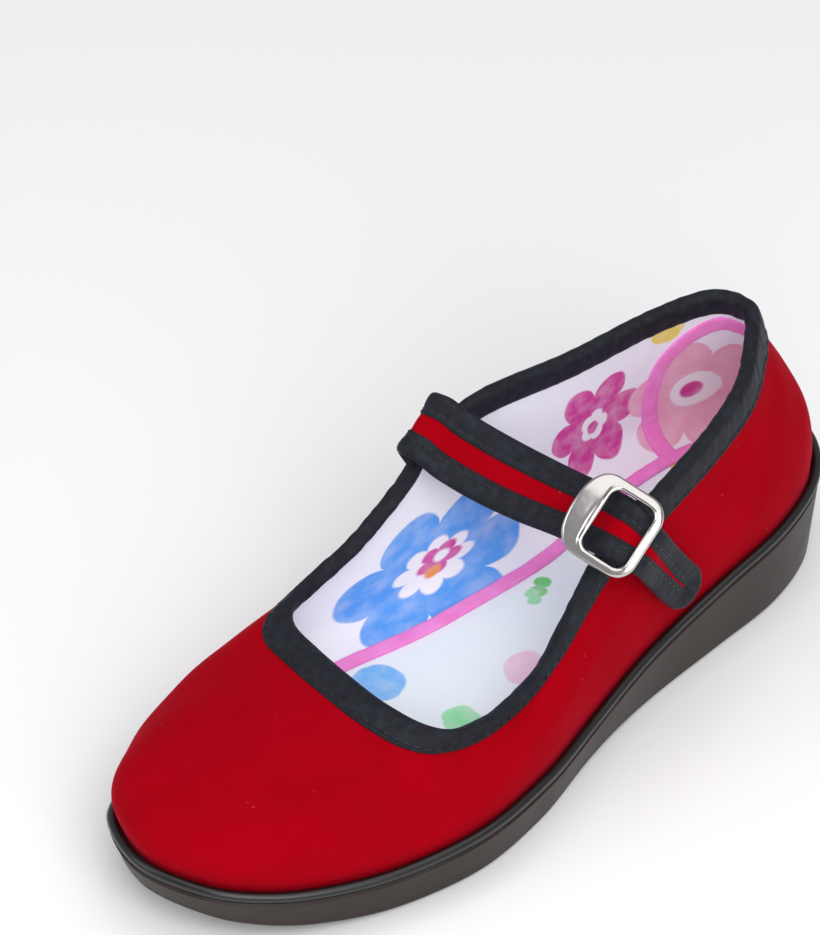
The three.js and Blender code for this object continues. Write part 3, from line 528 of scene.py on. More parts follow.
printed = {
    "finish": {"Roughness": 0.85, "Specular IOR Level": 0.2, "Sheen Weight": 0.1},
    "petalRound": 0.7,
    "edgeSoft": 0.35,
    "driftScale": 0.12,
    "washScale": 0.2,
    "washShare": 0.4,
    "swellScale": 90,
    "weaveScale": 2600,
    "blue": (0.11, 0.36, 0.9),
    "paleBlue": (0.2, 0.5, 0.95),
    "white": (0.93, 0.91, 0.96),
    "magenta": (0.66, 0.055, 0.34),
    "palePink": (0.86, 0.42, 0.58),
    "blush": (0.88, 0.6, 0.76),
    "mint": (0.3, 0.76, 0.4),
    "orange": (0.9, 0.3, 0.08),
    "yellow": (0.86, 0.68, 0.16),
    "green": (0.16, 0.62, 0.2),
}

liningCloth = {
    "ground": (0.92, 0.91, 0.99),
    "drift": 1.6,
    # colour, place along the topline and below it, radius, petals, depth of the petals, turn in degrees
    "flowers": [
        ("blue", 221, 39, 19.5, 6, 0.38, 12),
        ("white", 222, 38.5, 7.6, 8, 0.3, 10),
        ("magenta", 223, 37.5, 4.4, 5, 0.4, 20),
        ("white", 223.5, 37, 1.5, 5, 0, 0),
        ("orange", 221.6, 40.5, 1.7, 5, 0, 0),
        ("magenta", 274, 27, 17, 6, 0.4, 0),
        ("white", 274, 27.5, 5.2, 5, 0.25, 0),
        ("magenta", 273.6, 28, 2.1, 5, 0.1, 0),
        ("palePink", 306, 33.5, 20, 6, 0.38, 80),
        ("white", 306, 33, 5.8, 5, 0, 0),
        ("magenta", 305.5, 33, 2.7, 5, 0, 0),
        ("yellow", 298, 4.5, 5.5, 5, 0.1, 0),
        ("yellow", 340, 22, 17, 5, 0.22, 40),
        ("white", 340, 22, 5, 5, 0.1, 0),
        ("blue", 370, 44, 15, 5, 0.22, 10),
        ("green", 392, 16, 6, 2, 0.8, 40),
        ("palePink", 30, 30, 18, 6, 0.24, 15),
        ("white", 30, 30, 5, 5, 0.1, 0),
        ("blue", 72, 34, 17, 5, 0.24, 50),
        ("white", 72, 34, 5.5, 6, 0.12, 0),
        ("yellow", 108, 24, 11, 5, 0.22, 0),
        ("green", 126, 34, 6, 2, 0.8, 120),
        ("magenta", 150, 28, 15, 6, 0.25, 0),
        ("green", 188, 14, 6, 2, 0.8, 60),
    ],
}


def paintFlower(tree, parts, ground, flower):
    colour, across, down, radius, petals, depth, turn = flower
    x = compute(tree, "SUBTRACT", parts["X"], across)
    y = compute(tree, "SUBTRACT", parts["Y"], down)
    squares = compute(tree, "ADD", compute(tree, "MULTIPLY", x, x), compute(tree, "MULTIPLY", y, y))
    angle = compute(tree, "ARCTAN2", y, x)
    half = compute(tree, "MULTIPLY_ADD", angle, petals / 2, -math.radians(turn) * petals / 2)
    lobe = compute(tree, "ABSOLUTE", compute(tree, "COSINE", half))
    petal = compute(tree, "POWER", lobe, printed["petalRound"])
    edge = compute(tree, "MULTIPLY_ADD", petal, radius * depth, radius * (1 - depth))
    past = compute(tree, "SUBTRACT", edge, compute(tree, "SQRT", squares))
    inside = rampFrom(tree, past, -printed["edgeSoft"], printed["edgeSoft"])
    return mixColour(tree, inside, ground, printed[colour])


def paintedCloth(name, place, cloth):  # the flowers on their ground, with soft edges and a watery wash
    material, tree, shader = newMaterial(name, cloth["ground"], printed["finish"])
    where = place(tree)
    drift = addNode(tree, "TexNoise", {"Vector": where, "Scale": printed["driftScale"], "Detail": 2})
    shift = addNode(tree, "VectorMath", {0: drift.outputs["Color"], 1: (0.5, 0.5, 0.5)}, operation="SUBTRACT")
    moved = addNode(tree, "VectorMath", {0: shift.outputs[0], 1: (cloth["drift"],) * 3, 2: where},
                    operation="MULTIPLY_ADD")
    parts = split(tree, moved.outputs[0])
    colour = cloth["ground"]
    for flower in cloth["flowers"]:
        colour = paintFlower(tree, parts, colour, flower)
    wash = rampFrom(tree, noiseAt(tree, where, printed["washScale"], 4), 0.4, 0.85)
    colour = mixColour(tree, compute(tree, "MULTIPLY", wash, printed["washShare"]), colour, printed["white"])
    tree.links.new(colour, shader.inputs["Base Color"])
    here = objectPlace(tree)
    swell, weave = (noiseAt(tree, here, printed[scale]) for scale in ("swellScale", "weaveScale"))
    roughen(tree, shader, [(swell, 0.2, 0.8), (weave, 0.3, 0.08)])
    return material


# Print of the insole: a few leaves and dots on a bluer white

insolePrint = {
    "ground": (0.84, 0.92, 0.97),
    "drift": 1.2,
    # colour, place along and across the part, radius, petals, depth of the petals, turn in degrees
    "flowers": [
        ("green", -28, -8.6, 4, 2, 0.8, 25),
        ("mint", -24, -7.4, 3.2, 2, 0.8, 60),
        ("blush", -4, 9.5, 6.2, 5, 0.06, 0),
        ("mint", 21.5, 10.5, 5.5, 5, 0.12, 0),
        ("paleBlue", 27, -15.5, 7.5, 5, 0.06, 0),
        ("magenta", -70, 2, 7, 5, 0.22, 20),
        ("white", -70, 2, 2.4, 5, 0.1, 0),
        ("green", -84, -6, 3.6, 2, 0.8, 120),
        ("yellow", -88, -10.5, 5, 5, 0.1, 0),
        ("paleBlue", 62, 14, 8, 5, 0.2, 0),
        ("palePink", 70, -16, 7, 5, 0.2, 30),
    ],
}


# Pink cotton tape: finely ribbed, in two pinks that drift into each other

pinkCotton = {
    "colour": (0.86, 0.16, 0.6),
    "deep": (0.9, 0.14, 0.52),
    "bright": (0.98, 0.36, 0.82),
    "finish": {"Roughness": 0.75, "Specular IOR Level": 0.25, "Sheen Weight": 0.2},
    "shadeScale": 160,
    "ribPitch": 0.55,
}

def pinkTapeMaterial():
    material, tree, shader = newMaterial("pinkTape", pinkCotton["colour"], pinkCotton["finish"])
    ribs = ribsAt(tree, split(tree, surfacePlace(tree))["X"], pinkCotton["ribPitch"])
    shade = noiseAt(tree, objectPlace(tree), pinkCotton["shadeScale"])
    colour = mixColour(tree, shade, pinkCotton["deep"], pinkCotton["bright"])
    tree.links.new(colour, shader.inputs["Base Color"])
    roughen(tree, shader, [(shade, 0.3, 0.5), (ribs, 0.3, 0.06)])
    return material


# Polished metal of the buckle, faintly smeared

buckleMetal = {
    "colour": (0.6, 0.57, 0.55),
    "finish": {"Metallic": 1.0, "Roughness": 0.12},
    "smearScale": 700,
    "smearRoughness": (0.07, 0.2),
    "swellScale": 260,
    # the hidden bar's near-black colour is painted shade: the frame's metal, darkened for the frame's shadow
    # over it
    "bar": (0.02, 0.02, 0.022),
    "barFinish": {"Metallic": 1.0, "Roughness": 0.5},
}


def buckleMaterial():
    material, tree, shader = newMaterial("polishedMetal", buckleMetal["colour"], buckleMetal["finish"])
    place = objectPlace(tree)
    smears = noiseAt(tree, place, buckleMetal["smearScale"], 3)
    tree.links.new(rampFrom(tree, smears, 0, 1, *buckleMetal["smearRoughness"]), shader.inputs["Roughness"])
    roughen(tree, shader, [(noiseAt(tree, place, buckleMetal["swellScale"]), 0.06, 0.15)])
    return material


# Black elastic: a matt web with ribs along it

elasticWeb = {
    "colour": (0.01, 0.01, 0.012),
    "finish": {"Roughness": 0.7, "Specular IOR Level": 0.3},
    "ribPitch": 0.8,
}


def elasticMaterial():
    material, tree, shader = newMaterial("blackElastic", elasticWeb["colour"], elasticWeb["finish"])
    ribs = ribsAt(tree, split(tree, surfacePlace(tree))["Y"], elasticWeb["ribPitch"])
    roughen(tree, shader, [(ribs, 0.5, 0.15)])
    return material


redVelveteen = velveteenMaterial()
blackTape = biasTapeMaterial()
blackThread = threadMaterial()
wallRubber = soleWallMaterial()
beadRubber = soleBeadMaterial()
printedLining = paintedCloth("printedLining", surfacePlace, liningCloth)
printedInsole = paintedCloth("printedInsole", insolePlace, insolePrint)
pinkTape = pinkTapeMaterial()
polishedMetal = buckleMaterial()
# the bar's metal with painted shade: near-black for the frame's shadow it sits in
paintedShadeSteel = newMaterial("paintedShadeSteel", buckleMetal["bar"], buckleMetal["barFinish"])[0]
blackElastic = elasticMaterial()
print("materials made")


# Outsole: a drafted wall under a bead, with treads cut across the heel and the forefoot

outsole = {
    "stations": 360,
    "wallDraft": 2,
    "edgeRound": 2,
    "roundTurns": (-90, -70, -50, -30, -12, 0),
    "wallShares": (0.15, 0.35, 0.55, 0.75, 0.92, 1),
    "grooveWidth": 1.4,
    "grooveDepth": 0.7,
    # share of the groove's width, share of its depth
    "groove": ((0.25, 0.6), (0.5, 1), (0.8, 0.75)),
    "beadWidth": 2.4,
    "beadHeight": 2.8,
    "beadProud": 0.5,
    "beadInside": 1.4,
    "rimDepth": 4,
    "girth": 640,
    "treadWidth": 2.2,
    "treadDepth": 1.4,
    "treadPitch": 9,
    "treadMargin": 9,
    "treadWave": 3,
    "treadBands": [(0.1, 0.17), (0.24, 0.31), (0.6, 0.74)],
}


def makeOutsole():
    cut = outsole
    t = np.linspace(0, 1, cut["stations"] + 1)
    rings = []

    def ring(outward, share, above, below):  # a share of the way from above the underside to below the edge
        row, at = outlineAt(t, outward)
        row[:, 2] = (undersideAt(at) + above) * (1 - share) + (edgeAt(at) - below) * share
        rings.append(row)

    for turn in np.radians(cut["roundTurns"]):
        inset = cut["wallDraft"] + cut["edgeRound"] * (1 - math.cos(turn))
        ring(-inset, 0, cut["edgeRound"] * (1 + math.sin(turn)), 0)
    wallTop = cut["beadHeight"] + cut["grooveWidth"]
    for share in cut["wallShares"]:
        ring(-cut["wallDraft"] * (1 - share), share, cut["edgeRound"], wallTop)
    for share, depth in cut["groove"]:
        ring(-cut["grooveDepth"] * depth, 1, 0, wallTop - cut["grooveWidth"] * share)
    beadStart = len(rings)
    radius = cut["beadHeight"] / 2
    middle, reach = (cut["beadProud"] - cut["beadWidth"]) / 2, (cut["beadProud"] + cut["beadWidth"]) / 2
    for turn in np.radians(range(-66, 160, 18)):
        ring(middle + reach * math.cos(turn), 1, 0, radius * (1 - math.sin(turn)))
    for below in (cut["beadInside"], cut["rimDepth"]):
        ring(-cut["beadWidth"], 1, 0, below)
    piece = gridPiece("outsole_moulded", np.array(rings), t * cut["girth"], np.arange(len(rings))[:, None])
    beadFaces = np.zeros((len(rings) - 1, cut["stations"]), int)
    beadFaces[beadStart - 2:] = 1
    piece.data.materials.append(wallRubber)
    piece.data.materials.append(beadRubber)
    piece.data.polygons.foreach_set("material_index", beadFaces.ravel())
    closeAcross(piece, cut["stations"], len(rings))
    sewUp(piece)
    cutTreads(piece)
    finishPiece(piece, wallRubber, ["outsole"], 40)


def closeAcross(piece, count, rows):  # closes the first and the last row with faces from side to side
    cage = bmesh.new()
    cage.from_mesh(piece.data)
    cage.verts.ensure_lookup_table()
    for row in (0, rows - 1):
        first = row * (count + 1)
        for i in range(count // 2):
            corners = [first + i, first + i + 1, first + count - i - 1, first + count - i]
            cage.faces.new([cage.verts[k] for k in dict.fromkeys(corners)])
    cage.to_mesh(piece.data)
    cage.free()


def cutTreads(piece):  # joins the cutters into one, and takes it from the sole
    cut = outsole
    t = np.linspace(0, 1, 721)
    plan = outlineAt(t, 0)[0]
    half = len(t) // 2
    wave = cut["treadWave"] * np.sin(np.linspace(0, 2 * math.pi, 9)) ** 2
    lift = (0, 0, 2 * cut["treadDepth"] / 1000)
    cutters = []
    for start, end in cut["treadBands"]:
        for i in range(int((end - start) * last["length"] / cut["treadPitch"]) + 1):
            x = start * last["length"] + i * cut["treadPitch"]
            left = np.interp(x, plan[:half, 0], plan[:half, 1]) - cut["treadMargin"]
            right = np.interp(x, plan[:half:-1, 0], plan[:half:-1, 1]) + cut["treadMargin"]
            across = np.linspace(left, right, len(wave))
            rows = [np.stack([x + wave + offset, across, 0 * across - cut["treadDepth"]], -1)
                    for offset in (0, cut["treadWidth"])]
            cutters.append(gridPiece("treadCutter", np.array(rows)))
            bpy.ops.object.mode_set(mode="EDIT")
            bpy.ops.mesh.select_all(action="SELECT")
            bpy.ops.mesh.extrude_region_move(TRANSFORM_OT_translate={"value": lift})
            bpy.ops.mesh.select_all(action="SELECT")
            bpy.ops.mesh.normals_make_consistent(inside=False)
            bpy.ops.object.mode_set(mode="OBJECT")
    pick(*cutters)
    bpy.ops.object.join()
    pick(piece)
    treads = piece.modifiers.new("treads", "BOOLEAN")
    treads.operation = "DIFFERENCE"
    treads.solver = "EXACT"
    treads.object = cutters[0]
    bpy.ops.object.modifier_apply(modifier=treads.name)
    bpy.data.objects.remove(cutters[0])


# Upper: one velveteen wall from the sole's rim to the topline

upper = {
    "stations": 360,
    "rows": 44,
    "innerRows": 12,
    "wall": 1.25,
    "footTuck": 3.6,
    "swell": 0.16,
    "girth": 600,
    "rowPitch": 1.5,
}


def softSwell(t, v):  # a slow, shallow unevenness of the cloth in mm
    slow = np.sin(2 * math.pi * (9 * t + 1.3 * v)) * np.sin(2 * math.pi * (5 * t - 1.9 * v + 0.2))
    return upper["swell"] * (slow + 0.6 * np.sin(2 * math.pi * (17 * t + 2.6 * v + 0.4)))


def makeUpper():
    t = np.linspace(0, 1, upper["stations"] + 1)
    columns, v = np.meshgrid(t, np.linspace(0, 1, upper["rows"]))
    outside = offUpper(columns, v, softSwell(columns, v) * np.sin(math.pi * v))
    inside = offUpper(*np.meshgrid(t, np.linspace(1, 0, upper["innerRows"])), -upper["wall"])
    foot, innerFoot = (edgeRow(t, -last["upperInset"] - inset, -upper["footTuck"])[None]
                       for inset in (0, upper["wall"]))
    points = np.concatenate([foot, outside, inside, innerFoot, foot])
    around = np.arange(len(points))[:, None] * upper["rowPitch"]
    piece = gridPiece("upper_velveteen", points, t * upper["girth"], around)
    sewUp(piece)
    finishPiece(piece, redVelveteen, ["upper"], 60)


# Lining: printed cotton down the inner wall and over the padded cove to the insole's tape

lining = {
    "stations": 300,
    "start": 0.2,
    "offset": 1.85,
    "cloth": 0.35,
    "topShare": 0.985,
    "wallRows": 34,
    "coveTop": 6.5,
    "coveRows": 11,
    "coveEnd": 14.2,
    "coveHeight": -0.45,
    "covePull": 5.5,
    "coveFall": 0.75,
}


def liningRows(t, lift):  # rings of points from the topline down to the tape, and how deep each lies
    share = np.linspace(0, 1, 80)
    climbed = lengthAlong(upperAt(*np.meshgrid(t, share)))
    foot = np.array([np.interp(lining["coveTop"], column, share) for column in climbed.T])
    v = lining["topShare"] + (foot - lining["topShare"]) * np.linspace(0, 1, lining["wallRows"])[:, None]
    wall = offUpper(np.broadcast_to(t, v.shape), v, -lining["offset"] - lift)
    end = edgeRow(t, -lining["coveEnd"], lining["coveHeight"] + lift)
    low = edgeRow(t, -lining["coveEnd"] + lining["covePull"], 0)
    low[:, 2] = end[:, 2]
    down = unit(wall[-1] - wall[-3]) * lining["covePull"] * lining["coveFall"]
    shares = np.linspace(0, 1, lining["coveRows"] + 1)[1:, None, None]
    points = np.concatenate([wall, bezierAt((wall[-1], wall[-1] + down, low, end), shares)])
    return points, lengthAlong(points)


def onLining(share, depth):  # places on the lining's face
    points, depths = liningRows(share, lining["cloth"])
    return np.stack([[np.interp(depth[i], depths[:, i], points[:, i, k]) for i in range(len(share))]
                     for k in range(3)], -1)


def makeLining():
    t = np.linspace(lining["start"], lining["start"] + 1, lining["stations"] + 1)
    ruler = np.linspace(lining["start"], lining["start"] + 1, 2400)
    along = np.interp(t, ruler, lengthAlong(curveAt(toplinePoints, ruler, True)))
    face, depth = liningRows(t, lining["cloth"])
    back, backDepth = liningRows(t, 0)
    points = np.concatenate([face, back[::-1], face[:1]])
    piece = gridPiece("lining_printed", points, along, np.concatenate([depth, backDepth[::-1], depth[:1]]))
    sewUp(piece)
    finishPiece(piece, printedLining, (), 70)


# Tape over the edge of the heel lining: up the inner wall and round under the collar

# side over the width, height over the thickness
tapeProfile = [(-0.5, 0), (-0.49, 0.7), (-0.4, 1), (-0.2, 0.86), (0, 0.95), (0.2, 0.86), (0.4, 1),
               (0.49, 0.7), (0.5, 0)]

heelTape = {
    "width": 5.2,
    "thickness": 0.7,
    # share round the topline from the heel's back, and depth under it
    "route": [(0.108, 54), (0.1086, 47), (0.1088, 40), (0.109, 33.5), (0.1075, 26.5), (0.103, 18.5),
              (0.0915, 13), (0.075, 10), (0.0475, 8.5), (0.0177, 9.4), (-0.0177, 9.4), (-0.0475, 8.5),
              (-0.075, 10), (-0.0915, 13), (-0.103, 18.5), (-0.1075, 26.5), (-0.109, 33.5), (-0.1088, 40),
              (-0.1086, 47), (-0.108, 54)],
    "looksAt": (45, 0, 60),  # a place over the heel that its face turns to
    "under": -0.1,
}


# rowAt gives the row of points at a side and a height
def makePinkTape(name, rowAt, length, width, under, closed, nodes):
    profile = tapeProfile + [(0.4, under), (-0.4, under), (-0.5, 0)]
    rows = np.array([rowAt(side, height) for side, height in profile])
    piece = gridPiece(name, rows, length, np.array([[side * width] for side, height in profile]))
    sewUp(piece, not closed)
    finishPiece(piece, pinkTape, nodes, 60)


def makeHeelTape():
    places = [(share, depth, 0) for share, depth in heelTape["route"]]
    share, depth = curveAt(places, np.linspace(0, 1, 220), False)[:, :2].T
    base = onLining(share, depth)
    ahead, below = onLining(share + 0.002, depth) - base, onLining(share, depth - 1) - base
    inward = unit(np.cross(ahead, below))
    inward *= np.sign((inward * (np.array(heelTape["looksAt"]) - base)).sum(-1, keepdims=True))
    across = unit(np.cross(inward, np.gradient(base, axis=0)))
    length = lengthAlong(base)
    pucker = 1 + 0.12 * np.sin(length * 2.1) + 0.08 * np.sin(length * 0.9 + 1)

    def rowAt(side, height):
        return (base + across * side * heelTape["width"]
                + inward * (height * heelTape["thickness"] * pucker)[:, None])

    makePinkTape("heel_lining_tape", rowAt, length, heelTape["width"], heelTape["under"], False, ())


# Insole: a padded sock, domed a little, with pink tape over its seam

insole = {
    "stations": 150,
    "insets": (5, 9, 14.4),
    "sink": 0.68,
    "rows": 17,
    "dome": 0.5,
    "domeWidth": 20,
    "thickness": 3,
}

insoleTape = {
    "stations": 300,
    "inset": 15.3,
    "width": 4.3,
    "height": 1.1,
    "sink": 0.45,
    "under": -0.3,
}


def makeInsole():
    half = np.linspace(0, 0.5, insole["stations"] + 1)
    lateral, medial = ([edgeRow(t, -inset, -insole["sink"]) for inset in insole["insets"]]
                       for t in (half, 1 - half))
    width = np.linalg.norm(lateral[-1] - medial[-1], axis=1)
    middle = []
    for share in np.linspace(0, 1, insole["rows"] + 2)[1:-1]:
        row = lateral[-1] * (1 - share) + medial[-1] * share
        row[:, 2] += insole["dome"] * math.sin(math.pi * share) * np.minimum(width / insole["domeWidth"], 1)
        middle.append(row)
    top = np.array(lateral + middle + medial[::-1])
    under = top[::-1] - (0, 0, insole["thickness"])
    points = np.concatenate([top, under, top[:1]])
    piece = gridPiece("insole_sock", points, points[..., 0], points[..., 1])
    sewUp(piece, True)
    finishPiece(piece, printedInsole, ["insole"], 60)


def makeInsoleTape():
    t = np.linspace(0, 1, insoleTape["stations"] + 1)
    length = lengthAlong(outlineAt(t, -insoleTape["inset"])[0])
    pucker = 1 + 0.1 * np.sin(length * 1.7) + 0.08 * np.sin(length * 0.63 + 2)

    def rowAt(side, height):
        lift = height * insoleTape["height"] * pucker - insoleTape["sink"]
        return edgeRow(t, side * insoleTape["width"] - insoleTape["inset"], lift)

    makePinkTape("insole_tape", rowAt, length, insoleTape["width"], insoleTape["under"], True,
                 ["insole_piping"])


# Strap: cut in one with the medial quarter, over the instep and down the lateral side

strap = {
    "width": 20,
    "tailWidth": 13.4,
    "halfThick": 1.5,
    "coreInset": 1.1,
    "bindingWidth": 7.2,
    "bindingNarrowing": 0.4,
    "hemCloses": 0.82,
    "upperWall": 1.8,
    "rootLift": 0.96,
    "rootDepth": 0.25,
    "rootStation": 6.02,
    "crossStation": 5.62,
    # station along the topline, depth under it and how far off the quarter the tail rides
    "tailRows": [(5.3, 14, 6.8), (5, 23, 5), (4.65, 34, 3.4)],
    "rootLie": (30, -2, -6),
    "tailLie": (33, 3, 172),
    "buckleRow": 9.85,
    # place over the length, side as a share of the waist, rise; fall, turn, roll in degrees; width
    "rows": [
        (0.443, -0.587, 1.113, 34, -1, -10, 1),
        (0.448, -0.618, 1.177, 38, 0, 0, 0.96),
        (0.453, -0.611, 1.229, 41, 0, 42, 0.94),
        (0.455, -0.574, 1.252, 43, 0, 86, 0.96),
        (0.451, -0.517, 1.233, 44, 1, 112, 0.98),
        (0.445, -0.423, 1.162, 44, 2, 114, 0.99),
        (0.434, -0.244, 1.091, 44, 3, 104, 0.99),
        (0.425, -0.028, 1.069, 44, 4, 97, 0.96),
        (0.42, 0.159, 1.087, 43, 6, 90, 0.91),
        (0.419, 0.353, 1.131, 42, 9, 84, 0.89),
        (0.417, 0.517, 1.136, 42, 10, 96, 0.85),
        (0.402, 0.592, 0.985, 35, 7, 132, 0.7),
    ],
    # side over the half width, height in mm
    "core": [(-1, 0), (-0.98, -0.5), (-0.5, -0.5), (0, -0.5), (0.5, -0.5), (0.98, -0.5), (1, 0), (0.98, 0.5),
             (0.5, 0.5), (0.25, 0.72), (0, 0.8), (-0.25, 0.72), (-0.5, 0.5), (-0.98, 0.5), (-1, 0)],
    # share of the way from the hem to the edge, height in mm: trough, roll over the edge, back underneath
    "fold": [(0, 0.42), (0.02, 0.92), (0.09, 1.2), (0.18, 1.12), (0.25, 1.02), (0.33, 1.18), (0.5, 1.42),
             (0.7, 1.52), (0.85, 1.4), (0.95, 1), (1, 0.4), (1, -0.4), (0.95, -1), (0.8, -1.12), (0.4, -1.05),
             (0.05, -1), (0, -0.6), (0.3, -0.56), (0.8, -0.54), (0.8, 0.5), (0.3, 0.5), (0, 0.42)],
}

stations = 2 * (len(last["outline"]) - 1)
rootShare = 1 - strap["rootStation"] / stations
crossShare = strap["crossStation"] / stations


def strapRoute():  # places, lies and widths from the root to the tip
    root, rim = np.array([rootShare]), np.array([1.0])
    up, out = upperWays(root, rim)
    start = upperAt(root, rim) + up * strap["rootLift"] - out * strap["upperWall"] / 2
    places, lies, widths = [start[0]], [strap["rootLie"]], [strap["width"]]
    for at, side, rise, fall, turn, roll, width in strap["rows"]:
        height = edgeAt(at) + rise * last["rises"]["strap"]
        places.append((at * last["length"], side * last["widths"]["waist"], height))
        lies.append((fall, turn, roll))
        widths.append(width * strap["width"])
    for station, depth, ride in strap["tailRows"]:
        column, depth, ride = np.array([station / stations]), np.array([[depth]]), np.array([[ride]])
        places.append(besideUpper(column, depth, ride)[0, 0])
        lies.append(strap["tailLie"])
        widths.append(strap["tailWidth"])
    return np.array(places), np.array(lies, float), np.array([(width, 0, 0) for width in widths], float)


routePlaces, routeLies, routeWidths = strapRoute()
strapLength = lengthAlong(curveAt(routePlaces, np.linspace(0, 1, 2001), False))[-1]
buckleShare = (strap["buckleRow"] + 1) / (len(routePlaces) - 1)


def strapFrames(u):  # places along the strap, with its ways across, outward and along
    place = curveAt(routePlaces, u, False)
    fall, turn, roll = np.moveaxis(np.radians(curveAt(routeLies, u, False)), -1, 0)
    across = np.stack([np.cos(fall) * np.cos(turn), np.cos(fall) * np.sin(turn), -np.sin(fall)], -1)
    medial = np.stack([np.sin(turn), -np.cos(turn), 0 * turn], -1)
    upward = np.cross(medial, across)
    facing = medial * np.cos(roll)[:, None] + upward * np.sin(roll)[:, None]
    return {"u": u, "place": place, "across": across, "facing": facing, "along": np.cross(facing, across),
            "half": curveAt(routeWidths, u, False)[:, 0] / 2}


def rimPlace(reach, out):  # a place over the rim that the strap's root follows
    shares = np.linspace(-0.08, 0.08, 801)
    line = curveAt(toplinePoints, rootShare + shares, True)
    far = np.sign(shares) * np.linalg.norm(line - line[400], axis=1)
    t = rootShare + np.interp(-reach, far, shares)
    depth = np.full(reach.shape + (1,), strap["rootDepth"])
    return besideUpper(t, depth, (out - strap["upperWall"] / 2)[:, None])[:, 0]


def onStrap(frames, reach, out):  # reach runs towards the toe, out lifts off the strap's middle layer
    points = (frames["place"][:, None] + frames["across"][:, None] * reach[..., None]
              + frames["facing"][:, None] * out[..., None])
    rootEnd = 0.5 / (len(routePlaces) - 1)
    for i in np.nonzero(frames["u"] < rootEnd)[0]:
        share = eased(frames["u"][i] / rootEnd)
        points[i] = points[i] * share + rimPlace(reach[i], out[i]) * (1 - share)
    return points


def strapShares(count):  # even steps from the root to the middle of the tip's round
    u = np.linspace(0, 1, 4001)
    far = np.linalg.norm(curveAt(routePlaces, u, False) - routePlaces[-1], axis=1)
    end = u[np.nonzero(far < strap["tailWidth"] / 2)[0][0]]
    return np.linspace(0, end, count)


def hemOf(frames):  # the hems close on each other toward the tip
    half = frames["half"]
    hem = half - strap["bindingWidth"] + (strap["width"] / 2 - half) * strap["bindingNarrowing"]
    close = np.clip((frames["u"] - strap["hemCloses"]) / 0.12, 0, 1)
    return hem * (1 - 0.8 * eased(close))


def tipFrames(frames, count):
    return {key: np.repeat(value[-1:], count, 0) for key, value in frames.items()}


def makeStrapCore():
    frames = strapFrames(strapShares(190))
    half = frames["half"] - strap["coreInset"]
    side, height = np.array(strap["core"]).T
    reach = half[:, None] * side
    body = onStrap(frames, reach, np.broadcast_to(height, reach.shape))
    turn = np.radians([15, 30, 45, 60, 72, 82])
    tip = tipFrames(frames, len(turn))
    tip["place"] = tip["place"] + tip["along"] * (half[-1] * np.sin(turn))[:, None]
    reach = half[-1] * np.cos(turn)[:, None] * side
    rings = np.concatenate([body, onStrap(tip, reach, np.broadcast_to(height, reach.shape))])
    length, around = lengthAlong(rings.mean(1)), side[:, None] * 8
    piece = gridPiece("strap_velveteen", rings.transpose(1, 0, 2), length, around)
    sewUp(piece, True)
    finishPiece(piece, redVelveteen, ["strap"], 60)


def foldProfile(frames, wrinkle):
    share, height = np.array(strap["fold"]).T
    hem = hemOf(frames)[:, None]
    reach = hem + (frames["half"][:, None] - hem) * share
    return reach, height + np.where(height > 0.9, wrinkle[:, None] * np.sin(math.pi * share), 0)


def makeStrapBinding():
    frames = strapFrames(strapShares(230))
    s = frames["u"] * 150
    calm = 1 - 0.6 * np.clip((frames["u"] - 0.75) / 0.15, 0, 1)
    wrinkle = calm * (0.1 * np.sin(s * 1.1) * np.sin(s * 0.31 + 1) + 0.06 * np.sin(s * 1.9 + 0.5))
    reach, height = foldProfile(frames, wrinkle)
    turn = np.radians(np.linspace(7.5, 172.5, 23))
    tip = tipFrames(frames, len(turn))
    tipReach, tipHeight = foldProfile(tip, 0.06 * np.sin(turn * 9))
    way = tip["along"] * np.sin(turn)[:, None] - tip["across"] * np.cos(turn)[:, None]
    corner = (tip["place"][:, None] + way[:, None] * tipReach[..., None]
              + tip["facing"][:, None] * tipHeight[..., None])
    rings = np.concatenate([onStrap(frames, -reach, height), corner, onStrap(frames, reach, height)[::-1]])
    around = np.arange(reach.shape[1])[:, None] * 0.6
    piece = gridPiece("strap_bias_binding", rings.transpose(1, 0, 2), lengthAlong(rings.mean(1)), around)
    sewUp(piece, True)
    finishPiece(piece, blackTape, ["strap_binding"], 60)


# Topline binding: bias tape folded over the rim, all round from one side of the strap to the other

topBinding = {
    "stations": 620,
    "turnStart": 2.9,
    "turnEnd": 11.5,
    "wall": 1.8,
    "fold": 1.4,
    # depth under the topline, distance off the upper's face
    "outside": [(8.1, 0.04), (8.05, 0.45), (7.6, 0.72), (7.0, 0.7), (6.55, 0.55), (6.1, 0.72), (5.2, 1.0),
                (3.8, 1.25), (2.2, 1.38), (0.8, 1.4)],
    "inside": [(0.8, -3.2), (2.4, -3.1), (4, -2.85), (4.9, -2.6), (5.3, -2.2), (5.35, -1.9), (3, -1.85),
               (0.5, -1.8)],
    "back": [(0.2, -0.9), (0.5, 0.02), (3, 0.03), (6, 0.03), (8.1, 0.04)],
}


def toplineEnds():  # where the tape starts and ends beside the middle of the strap's root
    ends = []
    for way in (1, -1):
        shares = rootShare + way * np.linspace(0, 0.05, 1001)
        line = curveAt(toplinePoints, shares, True)
        ends.append(shares[np.argmax(np.linalg.norm(line - line[0], axis=1) > topBinding["turnStart"])])
    return ends[0], ends[1] + 1


def hemTurn(line):  # how much of its depth the tape keeps where its hem turns up into the strap's
    root = curveAt(toplinePoints, np.array([rootShare]), True)
    far = np.linalg.norm(line - root, axis=1)
    turn = topBinding["turnEnd"] - topBinding["turnStart"]
    short = np.clip((topBinding["turnEnd"] - far) / turn, 0, 0.985)
    return np.sqrt(1 - short * short)


